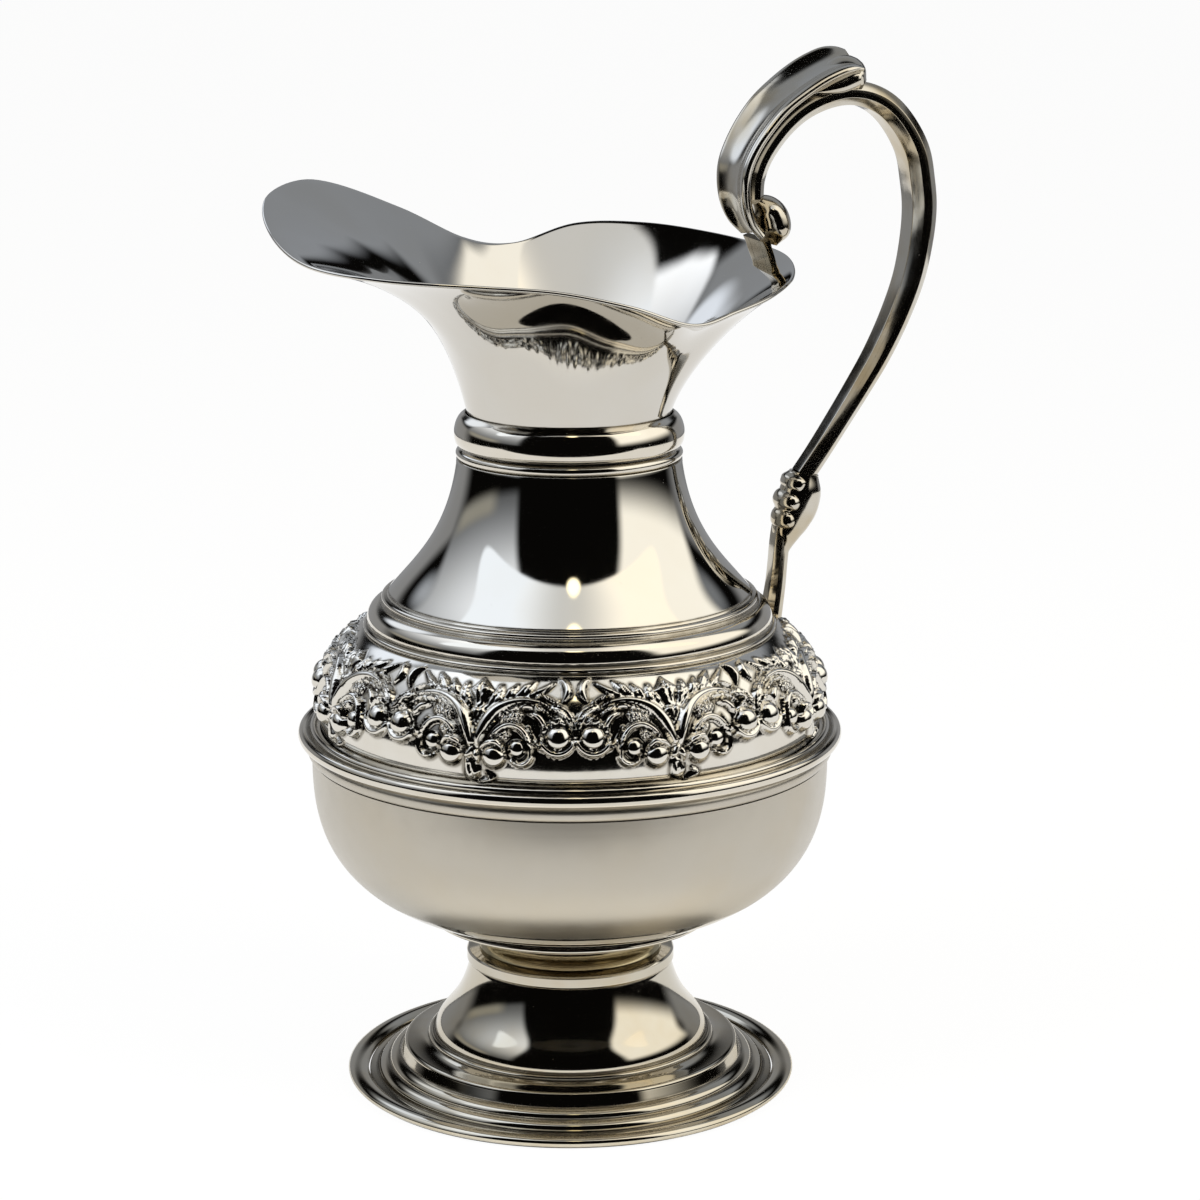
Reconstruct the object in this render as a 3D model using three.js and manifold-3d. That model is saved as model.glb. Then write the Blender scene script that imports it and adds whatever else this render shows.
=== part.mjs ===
import * as THREE from 'three';
import Module from 'manifold-3d';

// Silver-plated water carafe: a footed ewer with a wavy pouring mouth and a scroll handle.
// Millimetres, Z up. The vessel stands on its own axis, the handle is on +X, the lip on -X.
// The group is moved at the end so that the origin is under the middle of the whole box.

// Sheet and clearances
const wall = 1.2;
const solderGap = 0.3;
const facets = 28;

// Heights, from the bench upwards
const footRimHeight = 3.2;
const footStepsHeight = 11.2;
const bellHeight = 23.3;
const footRingHeight = 3.8;
const stemHeight = 8.9;
const bowlHeight = 51;
const bowlCollarHeight = 5.8;
const mouldingHeight = 4.4;
const girdleHeight = 4.8;
const shoulderHeight = 31.4;
const shoulderStepHeight = 10.6;
const coneHeight = 38.6;
const spigotHeight = 5.7;
const neckBeadHeight = 3.7;
const collarHeight = 9.7;
const mouthFlareHeight = 7.9;
const reedHeight = 6;
const reedDrop = 0.9;

// Radii of the main forms
const footRadius = 65.9;
const bellFootRadius = 41.1;
const bellNeckRadius = 29.6;
const bowlRadius = 74.9;
const coneNeckRadius = 32.3;
const lipReach = 87;

// Steps from those radii to the pieces that sit on them
const footRimWidth = 6.3;
const footRingOverhang = 0.9;
const footRingSeat = 7.6;
const stemSetback = 1.2;
const collarSetback = 2.7;
const mouldingOverhang = 1.4;
const girdleOverhang = 4;
const shoulderRun = 12.6;
const shoulderBulge = 1.2;
const shoulderFlange = 2.4;
const stepRun = 7.4;
const spigotSetback = 3;
const neckBeadOverhang = 0.2;
const collarOverhang = 0.6;

// Frieze on the shoulder
const friezeRepeats = 8;
const friezeTurn = 5.7;
const reliefHeight = 2.5;
const reliefRoot = 0.6;
const nutRadius = 3.6;
const scrollWidth = 3.4;

// Mouth and handle
const mouthWall = 1.1;
const mouthRise = 40.6;
const handleSpan = 66;
const handleSetback = 22.1;
const handleDrop = 101.4;
const handleRise = 60.6;
const legSetback = 4.6;
const legSink = 8.1;
const ribbonWidth = 23;
const ribbonThickness = 4.2;
const archWidth = 12.5;
const archThickness = 6.4;
const strapWidth = 18;
const strapThickness = 2.2;
const legWidth = 8;
const legThickness = 5.2;
const knuckleWidth = 13;
const knuckleThickness = 10.5;
const spurWidth = 15;
const spurThickness = 6.6;
const ribbonTipAngle = 14;

// Levels that follow from the heights
const bellBase = footStepsHeight;
const footRingBase = bellBase + bellHeight;
const stemBase = footRingBase + footRingHeight;
const bowlBase = stemBase + stemHeight;
const bowlTop = bowlBase + bowlHeight;
const mouldingTop = bowlTop + mouldingHeight;
const shoulderBase = bowlTop + bowlCollarHeight;
const stepBase = shoulderBase + shoulderHeight;
const coneBase = stepBase + shoulderStepHeight;
const coneTop = coneBase + coneHeight;
const mouthBase = coneTop + spigotHeight;
const collarBase = coneTop + neckBeadHeight;
const flareBase = mouthBase + mouthFlareHeight;

// Radii that follow from the main forms
const reedInnerShare = 0.374;
const reedOuterShare = 0.527;
const bowlSeatShare = 0.36;
const footGrooveRadius = footRadius - footRimWidth;
const footRingRadius = bellNeckRadius + footRingOverhang;
const footRingBore = bellNeckRadius - footRingSeat;
const reedInnerRadius = bowlRadius * reedInnerShare;
const reedOuterRadius = bowlRadius * reedOuterShare;
const bowlSeatRadius = bowlRadius * bowlSeatShare;
const stemRadius = reedInnerRadius - stemSetback;
const girdleSeatRadius = bowlRadius - collarSetback;
const mouldingRadius = bowlRadius + mouldingOverhang;
const girdleRadius = bowlRadius + girdleOverhang;
const shoulderTopRadius = girdleSeatRadius - shoulderRun;
const coneFootRadius = shoulderTopRadius - stepRun;
const mouthBaseRadius = coneNeckRadius - spigotSetback;
const neckBeadRadius = coneNeckRadius + neckBeadOverhang;
const collarRadius = coneNeckRadius + collarOverhang;

// Small helpers
const mix = (from, to, share) => from + (to - from) * share;
const point = (radius, height) => new THREE.Vector2(radius, height);

function finish(name, colour, roughness) {
  const material = new THREE.MeshStandardMaterial({ color: colour, roughness, metalness: 1 });
  material.name = name;
  return material;
}

function boxed(inner, outer, bottom, top, shares) {
  return shares.map(([across, up]) => point(mix(inner, outer, across), mix(bottom, top, up)));
}

// Solids from an indexed list of faces, always facing out
function closedGeometry(positions, faces) {
  let volume = 0;
  const corner = [new THREE.Vector3(), new THREE.Vector3(), new THREE.Vector3()];
  for (const face of faces) {
    face.forEach((index, place) => corner[place].fromArray(positions, index * corner.length));
    volume += corner[0].dot(corner[1].cross(corner[2]));
  }
  const outward = volume < 0 ? faces.map(([a, b, c]) => [a, c, b]) : faces;
  const geometry = new THREE.BufferGeometry();
  geometry.setAttribute('position', new THREE.Float32BufferAttribute(positions, corner.length));
  geometry.setIndex(outward.flat());
  geometry.computeVertexNormals();
  return geometry;
}

// A closed outline in radius and height turned round the vessel's axis
function turned(outline, segments = facets) {
  const positions = [];
  const ringStart = [];
  const onAxis = outline.map((p) => p.x === 0);
  outline.forEach((p, row) => {
    ringStart.push(positions.length / 3);
    const count = onAxis[row] ? 1 : segments;
    for (let step = 0; step < count; step += 1) {
      const turn = (step / segments) * Math.PI * 2;
      positions.push(p.x * Math.cos(turn), p.x * Math.sin(turn), p.y);
    }
  });
  const at = (row, step) => ringStart[row] + (onAxis[row] ? 0 : step % segments);
  const faces = [];
  outline.forEach((p, row) => {
    const next = (row + 1) % outline.length;
    if (onAxis[row] && onAxis[next]) return;
    for (let step = 0; step < segments; step += 1) {
      const a = at(row, step);
      const b = at(row, step + 1);
      const c = at(next, step + 1);
      const d = at(next, step);
      if (a !== b) faces.push([a, b, c]);
      if (c !== d) faces.push([a, c, d]);
    }
  });
  return closedGeometry(positions, faces);
}

// The inside of a sheet: the outer line moved in by the sheet's thickness, with mitred corners.
// The two ends are cut level or upright, so that neighbours meet on flat faces.
function squared(direction) {
  const upright = Math.abs(direction.y) > Math.abs(direction.x);
  return upright ? point(0, Math.sign(direction.y)) : point(Math.sign(direction.x), 0);
}

function offsetLine(line, distance) {
  return line.map((p, index) => {
    const before = line[Math.max(index - 1, 0)];
    const after = line[Math.min(index + 1, line.length - 1)];
    const into = p.clone().sub(before).normalize();
    const out = after.clone().sub(p).normalize();
    if (index === 0) into.copy(squared(out));
    if (index === 0) out.copy(into);
    if (index === line.length - 1) into.copy(squared(into));
    if (index === line.length - 1) out.copy(into);
    const normal = point(-into.y - out.y, into.x + out.x).normalize();
    const reach = distance / (normal.x * -into.y + normal.y * into.x);
    return point(Math.max(p.x + normal.x * reach, 0), p.y + normal.y * reach);
  });
}

function sheet(line, distance = wall) {
  return turned([...line, ...offsetLine(line, distance).reverse()]);
}

// Manifold solids, used where one piece is cut to another
const manifoldModule = await Module();
manifoldModule.setup();

function toManifold(geometry) {
  const positions = geometry.getAttribute('position').array;
  const mesh = new manifoldModule.Mesh({
    numProp: 3,
    vertProperties: Float32Array.from(positions),
    triVerts: Uint32Array.from(geometry.getIndex().array),
  });
  return new manifoldModule.Manifold(mesh);
}

function fromManifold(solid) {
  const mesh = solid.getMesh();
  const positions = Float32Array.from(mesh.vertProperties);
  const geometry = new THREE.BufferGeometry();
  geometry.setAttribute('position', new THREE.BufferAttribute(positions, mesh.numProp));
  geometry.setIndex(Array.from(mesh.triVerts));
  geometry.computeVertexNormals();
  return geometry;
}

// Keeps the main body of a solid, without any offcut
function largest(solid) {
  const bodies = solid.decompose();
  bodies.sort((first, second) => second.volume() - first.volume());
  return fromManifold(bodies[0]);
}

// Cuts one piece to its neighbour
function fitted(blank, neighbour) {
  return largest(toManifold(blank).subtract(toManifold(neighbour)));
}

// Foot: rolled rim wire, spun flange with its steps and bell, and the ring on top
const rimShares = [
  [0.02, 0.22], [0.16, 0], [0.84, 0], [1, 0.36], [0.95, 0.74], [0.72, 0.96], [0.3, 0.97], [0, 0.72],
];
const rimInner = footGrooveRadius + solderGap;
const footRim = turned(boxed(rimInner, footRadius, 0, footRimHeight, rimShares));

const flangeShares = [
  [0, 0.12], [0.13, 0.13], [0.19, 0.28], [0.3, 0.34], [0.35, 0.45], [0.5, 0.54],
  [0.54, 0.78], [0.61, 0.88], [0.86, 0.94], [0.93, 0.97],
];
const flangeLine = boxed(footGrooveRadius, bellFootRadius, 0, footStepsHeight, flangeShares);
const bellShares = [
  [0, 0.03], [0.09, 0.12], [0.13, 0.22], [0.24, 0.295], [0.5, 0.42], [0.77, 0.58], [0.94, 0.78], [1, 0.94], [1, 1],
];
const bellLine = boxed(bellFootRadius, bellNeckRadius, bellBase, footRingBase, bellShares);
const footBell = sheet([...flangeLine, ...bellLine], wall);

const ringShares = [[0, 0], [0.94, 0], [1, 0.24], [1, 0.76], [0.94, 1], [0, 1]];
const footRing = turned(boxed(footRingBore, footRingRadius, footRingBase, stemBase, ringShares));

// Stem boss between the foot ring and the bowl
const stemShares = [[0, 0], [0.97, 0], [1, 0.12], [0.94, 0.3], [0.88, 0.55], [0.9, 0.8], [0.96, 1], [0, 1]];
const stemBoss = turned(boxed(0, stemRadius, stemBase, bowlBase, stemShares));

// Bowl: a full, nearly hemispherical sheet on a flat seat, with an upright collar at the top
const bowlFullnessShare = 2.72;
const bowlStepShares = [0.09, 0.19, 0.3, 0.42, 0.54, 0.66, 0.78, 0.89];
function bowlOutline() {
  const line = [point(0, bowlBase), point(bowlSeatRadius, bowlBase)];
  const power = 2 / bowlFullnessShare;
  for (const share of [...bowlStepShares].reverse()) {
    const angle = (share * Math.PI) / 2;
    const radius = bowlRadius * Math.cos(angle) ** power;
    const drop = (bowlTop - bowlBase) * Math.sin(angle) ** power;
    if (radius > bowlSeatRadius) line.push(point(radius, bowlTop - drop));
  }
  return line;
}
const bowlLip = [
  point(bowlRadius, bowlTop),
  point(girdleSeatRadius, bowlTop),
  point(girdleSeatRadius, shoulderBase),
];
const bowlLine = [...bowlOutline(), ...bowlLip];
const bowl = sheet(bowlLine, wall);

// Reeded ring soldered under the bowl, cut to the bowl's own curve
const reedShares = [
  [0, 0.12], [0.06, 0], [0.3, 0.02], [0.36, 0.16], [0.42, 0.08], [0.62, 0.14], [0.69, 0.3],
  [0.92, 0.4], [1, 0.62], [1, 1], [0, 1],
];
const reedBase = bowlBase - reedDrop;
const reedLine = boxed(reedInnerRadius, reedOuterRadius, reedBase, reedBase + reedHeight, reedShares);
const reedBlank = turned(reedLine);
const bowlEnvelope = [
  ...offsetLine(bowlOutline(), -solderGap),
  point(bowlRadius, bowlTop),
  point(0, bowlTop),
];
const reedRing = fitted(reedBlank, turned(bowlEnvelope));

// Girdle: a soft moulding and the projecting bead above it
const girdleBore = girdleSeatRadius + solderGap;
const mouldingShares = [[0, 0], [0.62, 0], [0.84, 0.14], [1, 0.5], [0.92, 0.84], [0.78, 1], [0, 1]];
const moulding = turned(boxed(girdleBore, mouldingRadius, bowlTop, mouldingTop, mouldingShares));
const girdleShares = [
  [0, 0], [0.76, 0], [0.94, 0.18], [1, 0.46], [0.92, 0.76], [0.67, 0.82], [0.48, 0.98], [0.23, 0.92], [0, 0.96],
];
const girdle = turned(boxed(girdleBore, girdleRadius, mouldingTop, mouldingTop + girdleHeight, girdleShares));

// Shoulder: the convex band that carries the chased frieze
const shoulderShares = [
  [0, 0.1], [0.05, 0.22], [0.035, 0.36], [-0.06, 0.51], [-0.21, 0.66], [-0.45, 0.81],
  [-0.73, 0.93], [-0.92, 0.986], [-1, 1],
];
const shoulderFace = [
  point(girdleSeatRadius, shoulderBase),
  ...shoulderShares.map(([out, up]) => point(
    girdleSeatRadius + out * shoulderRun + shoulderBulge * Math.sin(up * Math.PI) ** 2,
    shoulderBase + up * shoulderHeight,
  )),
];
const shoulderLine = [...shoulderFace, point(shoulderTopRadius - shoulderFlange, stepBase)];
const shoulderPlain = sheet(shoulderLine, wall);

// Stepped ring under the cone: a light bead, a full quarter round and a fine bead on top
const stepInner = coneFootRadius - wall;
const stepShares = [
  [0.64, 0], [0.94, 0], [1, 0.07], [0.91, 0.17], [0.94, 0.24], [0.86, 0.42], [0.66, 0.6],
  [0.37, 0.74], [0.38, 0.84], [0.16, 0.96], [0.14, 1], [0, 1], [0.02, 0.74], [0.3, 0.5], [0.56, 0.26],
];
const shoulderStep = turned(boxed(stepInner, shoulderTopRadius, stepBase, coneBase, stepShares));

// Neck: a concave cone that ends in a spigot for the rings and the mouth
const coneShares = [
  [0, 0], [0.01, 0.015], [0.14, 0.092], [0.33, 0.21], [0.55, 0.365], [0.75, 0.545], [0.89, 0.735], [0.97, 0.92], [1, 1],
];
const coneLine = [
  ...boxed(coneFootRadius, coneNeckRadius, coneBase, coneTop, coneShares),
  point(mouthBaseRadius, coneTop),
  point(mouthBaseRadius, mouthBase),
];
const neckCone = sheet(coneLine, wall);

const collarBore = mouthBaseRadius + solderGap;
const beadShares = [[0, 0], [0.96, 0], [1, 0.3], [0.92, 0.66], [0.64, 0.86], [0.6, 1], [0, 1]];
const neckBead = turned(boxed(collarBore, neckBeadRadius, coneTop, collarBase, beadShares));
const collarShares = [
  [0, 0], [0.62, 0], [0.86, 0.1], [0.98, 0.3], [1, 0.46], [0.92, 0.66], [0.7, 0.84], [0.36, 0.96], [0, 1],
];
const collar = turned(boxed(collarBore, collarRadius, collarBase, collarBase + collarHeight, collarShares));

// Mouth: a funnel raised into a wavy rim, with a long tongue for the lip and a short one at the back.
// Each station gives the turn from the handle, the rim's reach and rise, and how the wall leaves the funnel.
const rimStations = [
  { turnShare: 0, reachShare: 0.76, riseShare: 0.99, bendShares: [0.47, 0.74] },
  { turnShare: 0.0833, reachShare: 0.722, riseShare: 1.09, bendShares: [0.5, 0.68] },
  { turnShare: 0.1667, reachShare: 0.672, riseShare: 1.14, bendShares: [0.52, 0.64] },
  { turnShare: 0.25, reachShare: 0.625, riseShare: 1.03, bendShares: [0.48, 0.64] },
  { turnShare: 0.3333, reachShare: 0.63, riseShare: 1.18, bendShares: [0.36, 0.64] },
  { turnShare: 0.4167, reachShare: 0.865, riseShare: 1.54, bendShares: [0.18, 0.6] },
  { turnShare: 0.4583, reachShare: 0.965, riseShare: 1.49, bendShares: [0.12, 0.66] },
  { turnShare: 0.5, reachShare: 1, riseShare: 1.33, bendShares: [0.1, 0.72] },
  { turnShare: 0.5417, reachShare: 0.98, riseShare: 1.16, bendShares: [0.12, 0.78] },
  { turnShare: 0.5833, reachShare: 0.9, riseShare: 1.09, bendShares: [0.18, 0.8] },
  { turnShare: 0.6667, reachShare: 0.675, riseShare: 1.03, bendShares: [0.36, 0.7] },
  { turnShare: 0.75, reachShare: 0.635, riseShare: 0.9, bendShares: [0.5, 0.62] },
  { turnShare: 0.8333, reachShare: 0.632, riseShare: 0.75, bendShares: [0.52, 0.62] },
  { turnShare: 0.9167, reachShare: 0.68, riseShare: 0.84, bendShares: [0.5, 0.7] },
];

function alongRim(turnShare, pick) {
  const count = rimStations.length;
  const place = (index) => {
    const lap = Math.floor(index / count);
    const station = rimStations[index - lap * count];
    return [station.turnShare + lap, pick(station)];
  };
  let start = 0;
  while (start + 1 < count && rimStations[start + 1].turnShare <= turnShare) start += 1;
  const [t0, v0] = place(start - 1);
  const [t1, v1] = place(start);
  const [t2, v2] = place(start + 1);
  const [t3, v3] = place(start + 2);
  const span = t2 - t1;
  const u = (turnShare - t1) / span;
  const slopeIn = ((v2 - v0) / (t2 - t0)) * span;
  const slopeOut = ((v3 - v1) / (t3 - t1)) * span;
  const u2 = u * u;
  const u3 = u2 * u;
  return v1 * (2 * u3 - 3 * u2 + 1) + slopeIn * (u3 - 2 * u2 + u) + v2 * (3 * u2 - 2 * u3) + slopeOut * (u3 - u2);
}

const mouthTurns = facets * 2;
const mouthRows = 7;
const flareStartShares = [0.03, 0.22];

function mouthPoint(turnShare, rowShare) {
  const turn = turnShare * Math.PI * 2;
  const reach = lipReach * alongRim(turnShare, (s) => s.reachShare);
  const rise = flareBase + mouthRise * alongRim(turnShare, (s) => s.riseShare);
  const bendOut = alongRim(turnShare, (s) => s.bendShares[0]);
  const bendUp = alongRim(turnShare, (s) => s.bendShares[1]);
  const curve = new THREE.CubicBezierCurve(
    point(mouthBaseRadius, flareBase),
    point(mix(mouthBaseRadius, reach, flareStartShares[0]), mix(flareBase, rise, flareStartShares[1])),
    point(mix(mouthBaseRadius, reach, bendOut), mix(flareBase, rise, bendUp)),
    point(reach, rise),
  );
  const at = rowShare < 0 ? point(mouthBaseRadius, mouthBase) : curve.getPoint(rowShare);
  return new THREE.Vector3(at.x * Math.cos(turn), at.x * Math.sin(turn), at.y);
}

function mouthShell(outside, inside) {
  const outer = [];
  for (let row = 0; row <= mouthRows; row += 1) {
    const rowShare = row === 0 ? -1 : (row - 1) / (mouthRows - 1);
    const ring = [];
    for (let step = 0; step < mouthTurns; step += 1) ring.push(mouthPoint(step / mouthTurns, rowShare));
    outer.push(ring);
  }
  const at = (row, step) => outer[row][(step + mouthTurns) % mouthTurns];
  const moved = (distance) => outer.map((ring, row) => ring.map((p, step) => {
    const along = at(row, step + 1).clone().sub(at(row, step - 1));
    const above = at(Math.min(row + 1, mouthRows), step);
    const below = at(Math.max(row - 1, 0), step);
    const up = above.clone().sub(below);
    const normal = up.cross(along).normalize();
    if (row === 0) normal.setZ(0).normalize();
    return p.clone().addScaledVector(normal, distance);
  }));
  const rings = [...moved(-outside), ...moved(inside).reverse()];
  const positions = rings.flat().flatMap((p) => p.toArray());
  const faces = [];
  rings.forEach((ring, row) => {
    const next = (row + 1) % rings.length;
    for (let step = 0; step < mouthTurns; step += 1) {
      const after = (step + 1) % mouthTurns;
      faces.push([row * mouthTurns + step, row * mouthTurns + after, next * mouthTurns + after]);
      faces.push([row * mouthTurns + step, next * mouthTurns + after, next * mouthTurns + step]);
    }
  });
  return closedGeometry(positions, faces);
}
const mouth = mouthShell(0, mouthWall);
const mouthEnvelope = mouthShell(strapThickness, mouthWall + solderGap);

// Handle parts are drawn as sections carried along a line in the handle's own plane.
// The box that the lines are shares of hangs on the back of the rim.
const rimBackReach = lipReach * rimStations[0].reachShare;
const rimBackHeight = flareBase + mouthRise * rimStations[0].riseShare;
const handleLeft = rimBackReach - handleSetback;
const handleRight = handleLeft + handleSpan;
const handleBottom = rimBackHeight - handleDrop;
const handleTop = rimBackHeight + handleRise;

const handleRimShare = 0.626;

function handlePoint([across, up]) {
  const x = mix(handleLeft, handleRight, across);
  const below = mix(handleBottom, rimBackHeight, up / handleRimShare);
  const above = mix(rimBackHeight, handleTop, (up - handleRimShare) / (1 - handleRimShare));
  return new THREE.Vector3(x, 0, up < handleRimShare ? below : above);
}

function alongShares(values, share) {
  const place = share * (values.length - 1);
  const start = Math.min(Math.floor(place), values.length - 2);
  return mix(values[start], values[start + 1], place - start);
}

function swept({ path, stations, section, widths, thicknesses, rolls = [0, 0] }) {
  const curve = new THREE.CatmullRomCurve3(path, false, 'centripetal');
  const positions = [];
  const sideways = new THREE.Vector3(0, 1, 0);
  for (let station = 0; station <= stations; station += 1) {
    const share = station / stations;
    const centre = curve.getPointAt(share);
    const along = curve.getTangentAt(share);
    const roll = THREE.MathUtils.degToRad(alongShares(rolls, share));
    const across = sideways.clone().applyAxisAngle(along, roll);
    const out = along.clone().cross(across).normalize();
    const sectionWidth = alongShares(widths, share);
    const sectionThickness = alongShares(thicknesses, share);
    for (const [side, face] of section) {
      const corner = centre.clone().addScaledVector(across, side * sectionWidth);
      corner.addScaledVector(out, face * sectionThickness);
      positions.push(...corner.toArray());
    }
  }
  const count = section.length;
  const faces = [];
  for (let station = 0; station < stations; station += 1) {
    for (let index = 0; index < count; index += 1) {
      const next = (index + 1) % count;
      const here = station * count;
      const there = here + count;
      faces.push([here + index, here + next, there + next]);
      faces.push([here + index, there + next, there + index]);
    }
  }
  const capStart = THREE.ShapeUtils.triangulateShape(section.map(([a, b]) => point(a, b)), []);
  const lastRing = stations * count;
  for (const [a, b, c] of capStart) {
    faces.push([a, c, b]);
    faces.push([lastRing + a, lastRing + b, lastRing + c]);
  }
  return consistent(positions, faces);
}

// The caps may face either way after triangulation, so both are checked against the first side face
function consistent(positions, faces) {
  const edgeKey = (a, b) => `${a}_${b}`;
  const used = new Set();
  const fixed = [];
  for (const face of faces) {
    const [a, b, c] = face;
    const clash = used.has(edgeKey(a, b)) || used.has(edgeKey(b, c)) || used.has(edgeKey(c, a));
    const kept = clash ? [a, c, b] : face;
    kept.forEach((index, place) => used.add(edgeKey(index, kept[(place + 1) % kept.length])));
    fixed.push(kept);
  }
  return closedGeometry(positions, fixed);
}

// Sections: [side share, face share], the positive face looks away from the loop
const facetSectionShares = [
  [-0.5, -0.16], [-0.5, 0.16], [-0.3, 0.5], [0.3, 0.5], [0.5, 0.16], [0.5, -0.16], [0.3, -0.5], [-0.3, -0.5],
];
const channelSectionShares = [
  [-0.5, -0.1], [-0.5, 0.3], [-0.44, 0.5], [-0.36, 0.44], [-0.2, 0.06], [0, -0.06], [0.2, 0.06],
  [0.36, 0.44], [0.44, 0.5], [0.5, 0.3], [0.5, -0.1], [0.34, -0.5], [-0.34, -0.5],
];
const flatSectionShares = [
  [-0.5, -0.3], [-0.5, 0.3], [-0.44, 0.5], [0.44, 0.5], [0.5, 0.3], [0.5, -0.3], [0.44, -0.5], [-0.44, -0.5],
];
const seatSectionShares = [[-0.5, -0.5], [-0.5, 0.5], [0.5, 0.5], [0.5, -0.5]];

// Thumb ribbon: the broad channel that rises from the strap and ends free above the arch
const ribbonPathShares = [
  [0.179, 0.676], [0.132, 0.699], [0.102, 0.728], [0.091, 0.762], [0.1, 0.796], [0.135, 0.83],
  [0.188, 0.864], [0.258, 0.898], [0.342, 0.926], [0.436, 0.951], [0.524, 0.969], [0.603, 0.979],
];
const ribbonPath = ribbonPathShares.map(handlePoint);
const ribbonStations = 20;
const ribbonWidthShares = [0.74, 0.82, 0.9, 0.96, 1, 1.02, 1.02, 1, 0.94, 0.86, 0.72];
const ribbonThicknessShares = [0.8, 0.95, 1, 1, 1, 1, 1, 0.95, 0.9, 0.8, 0.6];
const ribbonRollShares = [0, 0, 0, 0.1, 0.3, 0.5, 0.7, 0.85, 1];
const ribbon = swept({
  path: ribbonPath,
  stations: ribbonStations,
  section: channelSectionShares,
  widths: ribbonWidthShares.map((share) => share * ribbonWidth),
  thicknesses: ribbonThicknessShares.map((share) => share * ribbonThickness),
  rolls: ribbonRollShares.map((share) => share * ribbonTipAngle),
});
const ribbonSeat = swept({
  path: ribbonPath,
  stations: ribbonStations,
  section: seatSectionShares,
  widths: ribbonWidthShares.map((share) => share * ribbonWidth + solderGap * 2),
  thicknesses: ribbonThicknessShares.map((share) => share * ribbonThickness + solderGap * 2),
  rolls: ribbonRollShares.map((share) => share * ribbonTipAngle),
});

// Strap: the flat foot of the handle, soldered inside the back of the mouth
const strapPathShares = [[0.258, 0.588], [0.236, 0.612], [0.212, 0.64], [0.19, 0.667]];
const strapWidthShares = [0.86, 0.94, 1, 1];
const strapThicknessShares = [1, 1, 1, 1.2];
const strapBlank = swept({
  path: strapPathShares.map(handlePoint),
  stations: 6,
  section: flatSectionShares,
  widths: strapWidthShares.map((share) => share * strapWidth),
  thicknesses: strapThicknessShares.map((share) => share * strapThickness),
});
const strap = fitted(strapBlank, mouthEnvelope);

// Arch: the faceted bow from the back of the ribbon, over the top and down to the knuckle
const archPathShares = [
  [0.161, 0.738], [0.165, 0.772], [0.191, 0.805], [0.239, 0.837], [0.302, 0.867], [0.382, 0.893],
  [0.479, 0.911], [0.583, 0.919], [0.685, 0.913], [0.777, 0.893], [0.856, 0.858], [0.918, 0.812],
  [0.953, 0.762], [0.967, 0.71], [0.955, 0.651], [0.912, 0.583], [0.848, 0.514], [0.765, 0.446],
  [0.671, 0.384], [0.576, 0.325], [0.485, 0.27], [0.42, 0.2335],
];
const archPath = archPathShares.map(handlePoint);
const archStations = 32;
const archWidthShares = [0.9, 1, 1.06, 1.06, 1, 1, 1, 1, 0.96, 0.92, 0.86, 0.8, 0.74];
const archThicknessShares = [0.86, 0.92, 1, 1.04, 1.06, 1.06, 1.06, 1.04, 1, 0.94, 0.88, 0.82, 0.8];
const archBlank = swept({
  path: archPath,
  stations: archStations,
  section: facetSectionShares,
  widths: archWidthShares.map((share) => share * archWidth),
  thicknesses: archThicknessShares.map((share) => share * archThickness),
});
const arch = fitted(archBlank, ribbonSeat);

// Knuckle: three beads where the arch meets the slender leg
const kneePathShares = [[0.4145, 0.2285], [0.403, 0.219], [0.388, 0.205], [0.378, 0.1955]];
const kneePath = kneePathShares.map(handlePoint);
const kneeShares = [0.72, 0.96, 0.96, 0.76, 1, 1, 0.78, 0.94, 0.94, 0.7];
const knuckle = swept({
  path: kneePath,
  stations: 9,
  section: facetSectionShares,
  widths: kneeShares.map((share) => share * knuckleWidth),
  thicknesses: kneeShares.map((share) => share * knuckleThickness),
});

// Leg: drops from the knuckle to the shoulder band and is cut to both
const legHeadShares = [0.374, 0.192];
const legHead = handlePoint(legHeadShares);
const legFoot = new THREE.Vector3(shoulderTopRadius + legSetback, 0, stepBase - legSink);
const legShares = [[1, 1], [0.68, 0.9], [0.32, 0.79], [0.12, 0.67], [0.03, 0.53], [0, 0.36], [0, 0]];
const legPath = legShares.map(([lean, up]) => {
  const x = mix(legFoot.x, legHead.x, lean);
  const z = mix(legFoot.z, legHead.z, up);
  return new THREE.Vector3(x, 0, z);
});
const legStations = 12;
const legWidthShares = [1.15, 1, 0.9, 0.9, 1];
const legThicknessShares = [1.3, 1, 0.9, 0.95, 1.05];
const legBlank = swept({
  path: legPath,
  stations: legStations,
  section: facetSectionShares,
  widths: legWidthShares.map((share) => share * legWidth),
  thicknesses: legThicknessShares.map((share) => share * legThickness),
});
const legSeat = swept({
  path: legPath,
  stations: legStations,
  section: seatSectionShares,
  widths: legWidthShares.map((share) => share * legWidth + solderGap * 2),
  thicknesses: legThicknessShares.map((share) => share * legThickness + solderGap * 2),
});
const shoulderEnvelope = [
  ...offsetLine(shoulderLine.slice(0, -1), -solderGap),
  point(0, stepBase + solderGap),
  point(0, shoulderBase),
];
const kneeEnd = kneePath[kneePath.length - 1];
const kneeGap = kneeEnd.clone().sub(kneePath[0]).normalize().multiplyScalar(solderGap);
const kneeSeat = swept({
  path: [kneePath[0], kneeEnd.clone().add(kneeGap)],
  stations: 1,
  section: seatSectionShares,
  widths: [knuckleWidth, knuckleWidth],
  thicknesses: [knuckleThickness, knuckleThickness],
});
const leg = fitted(fitted(legBlank, turned(shoulderEnvelope)), kneeSeat);

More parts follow.
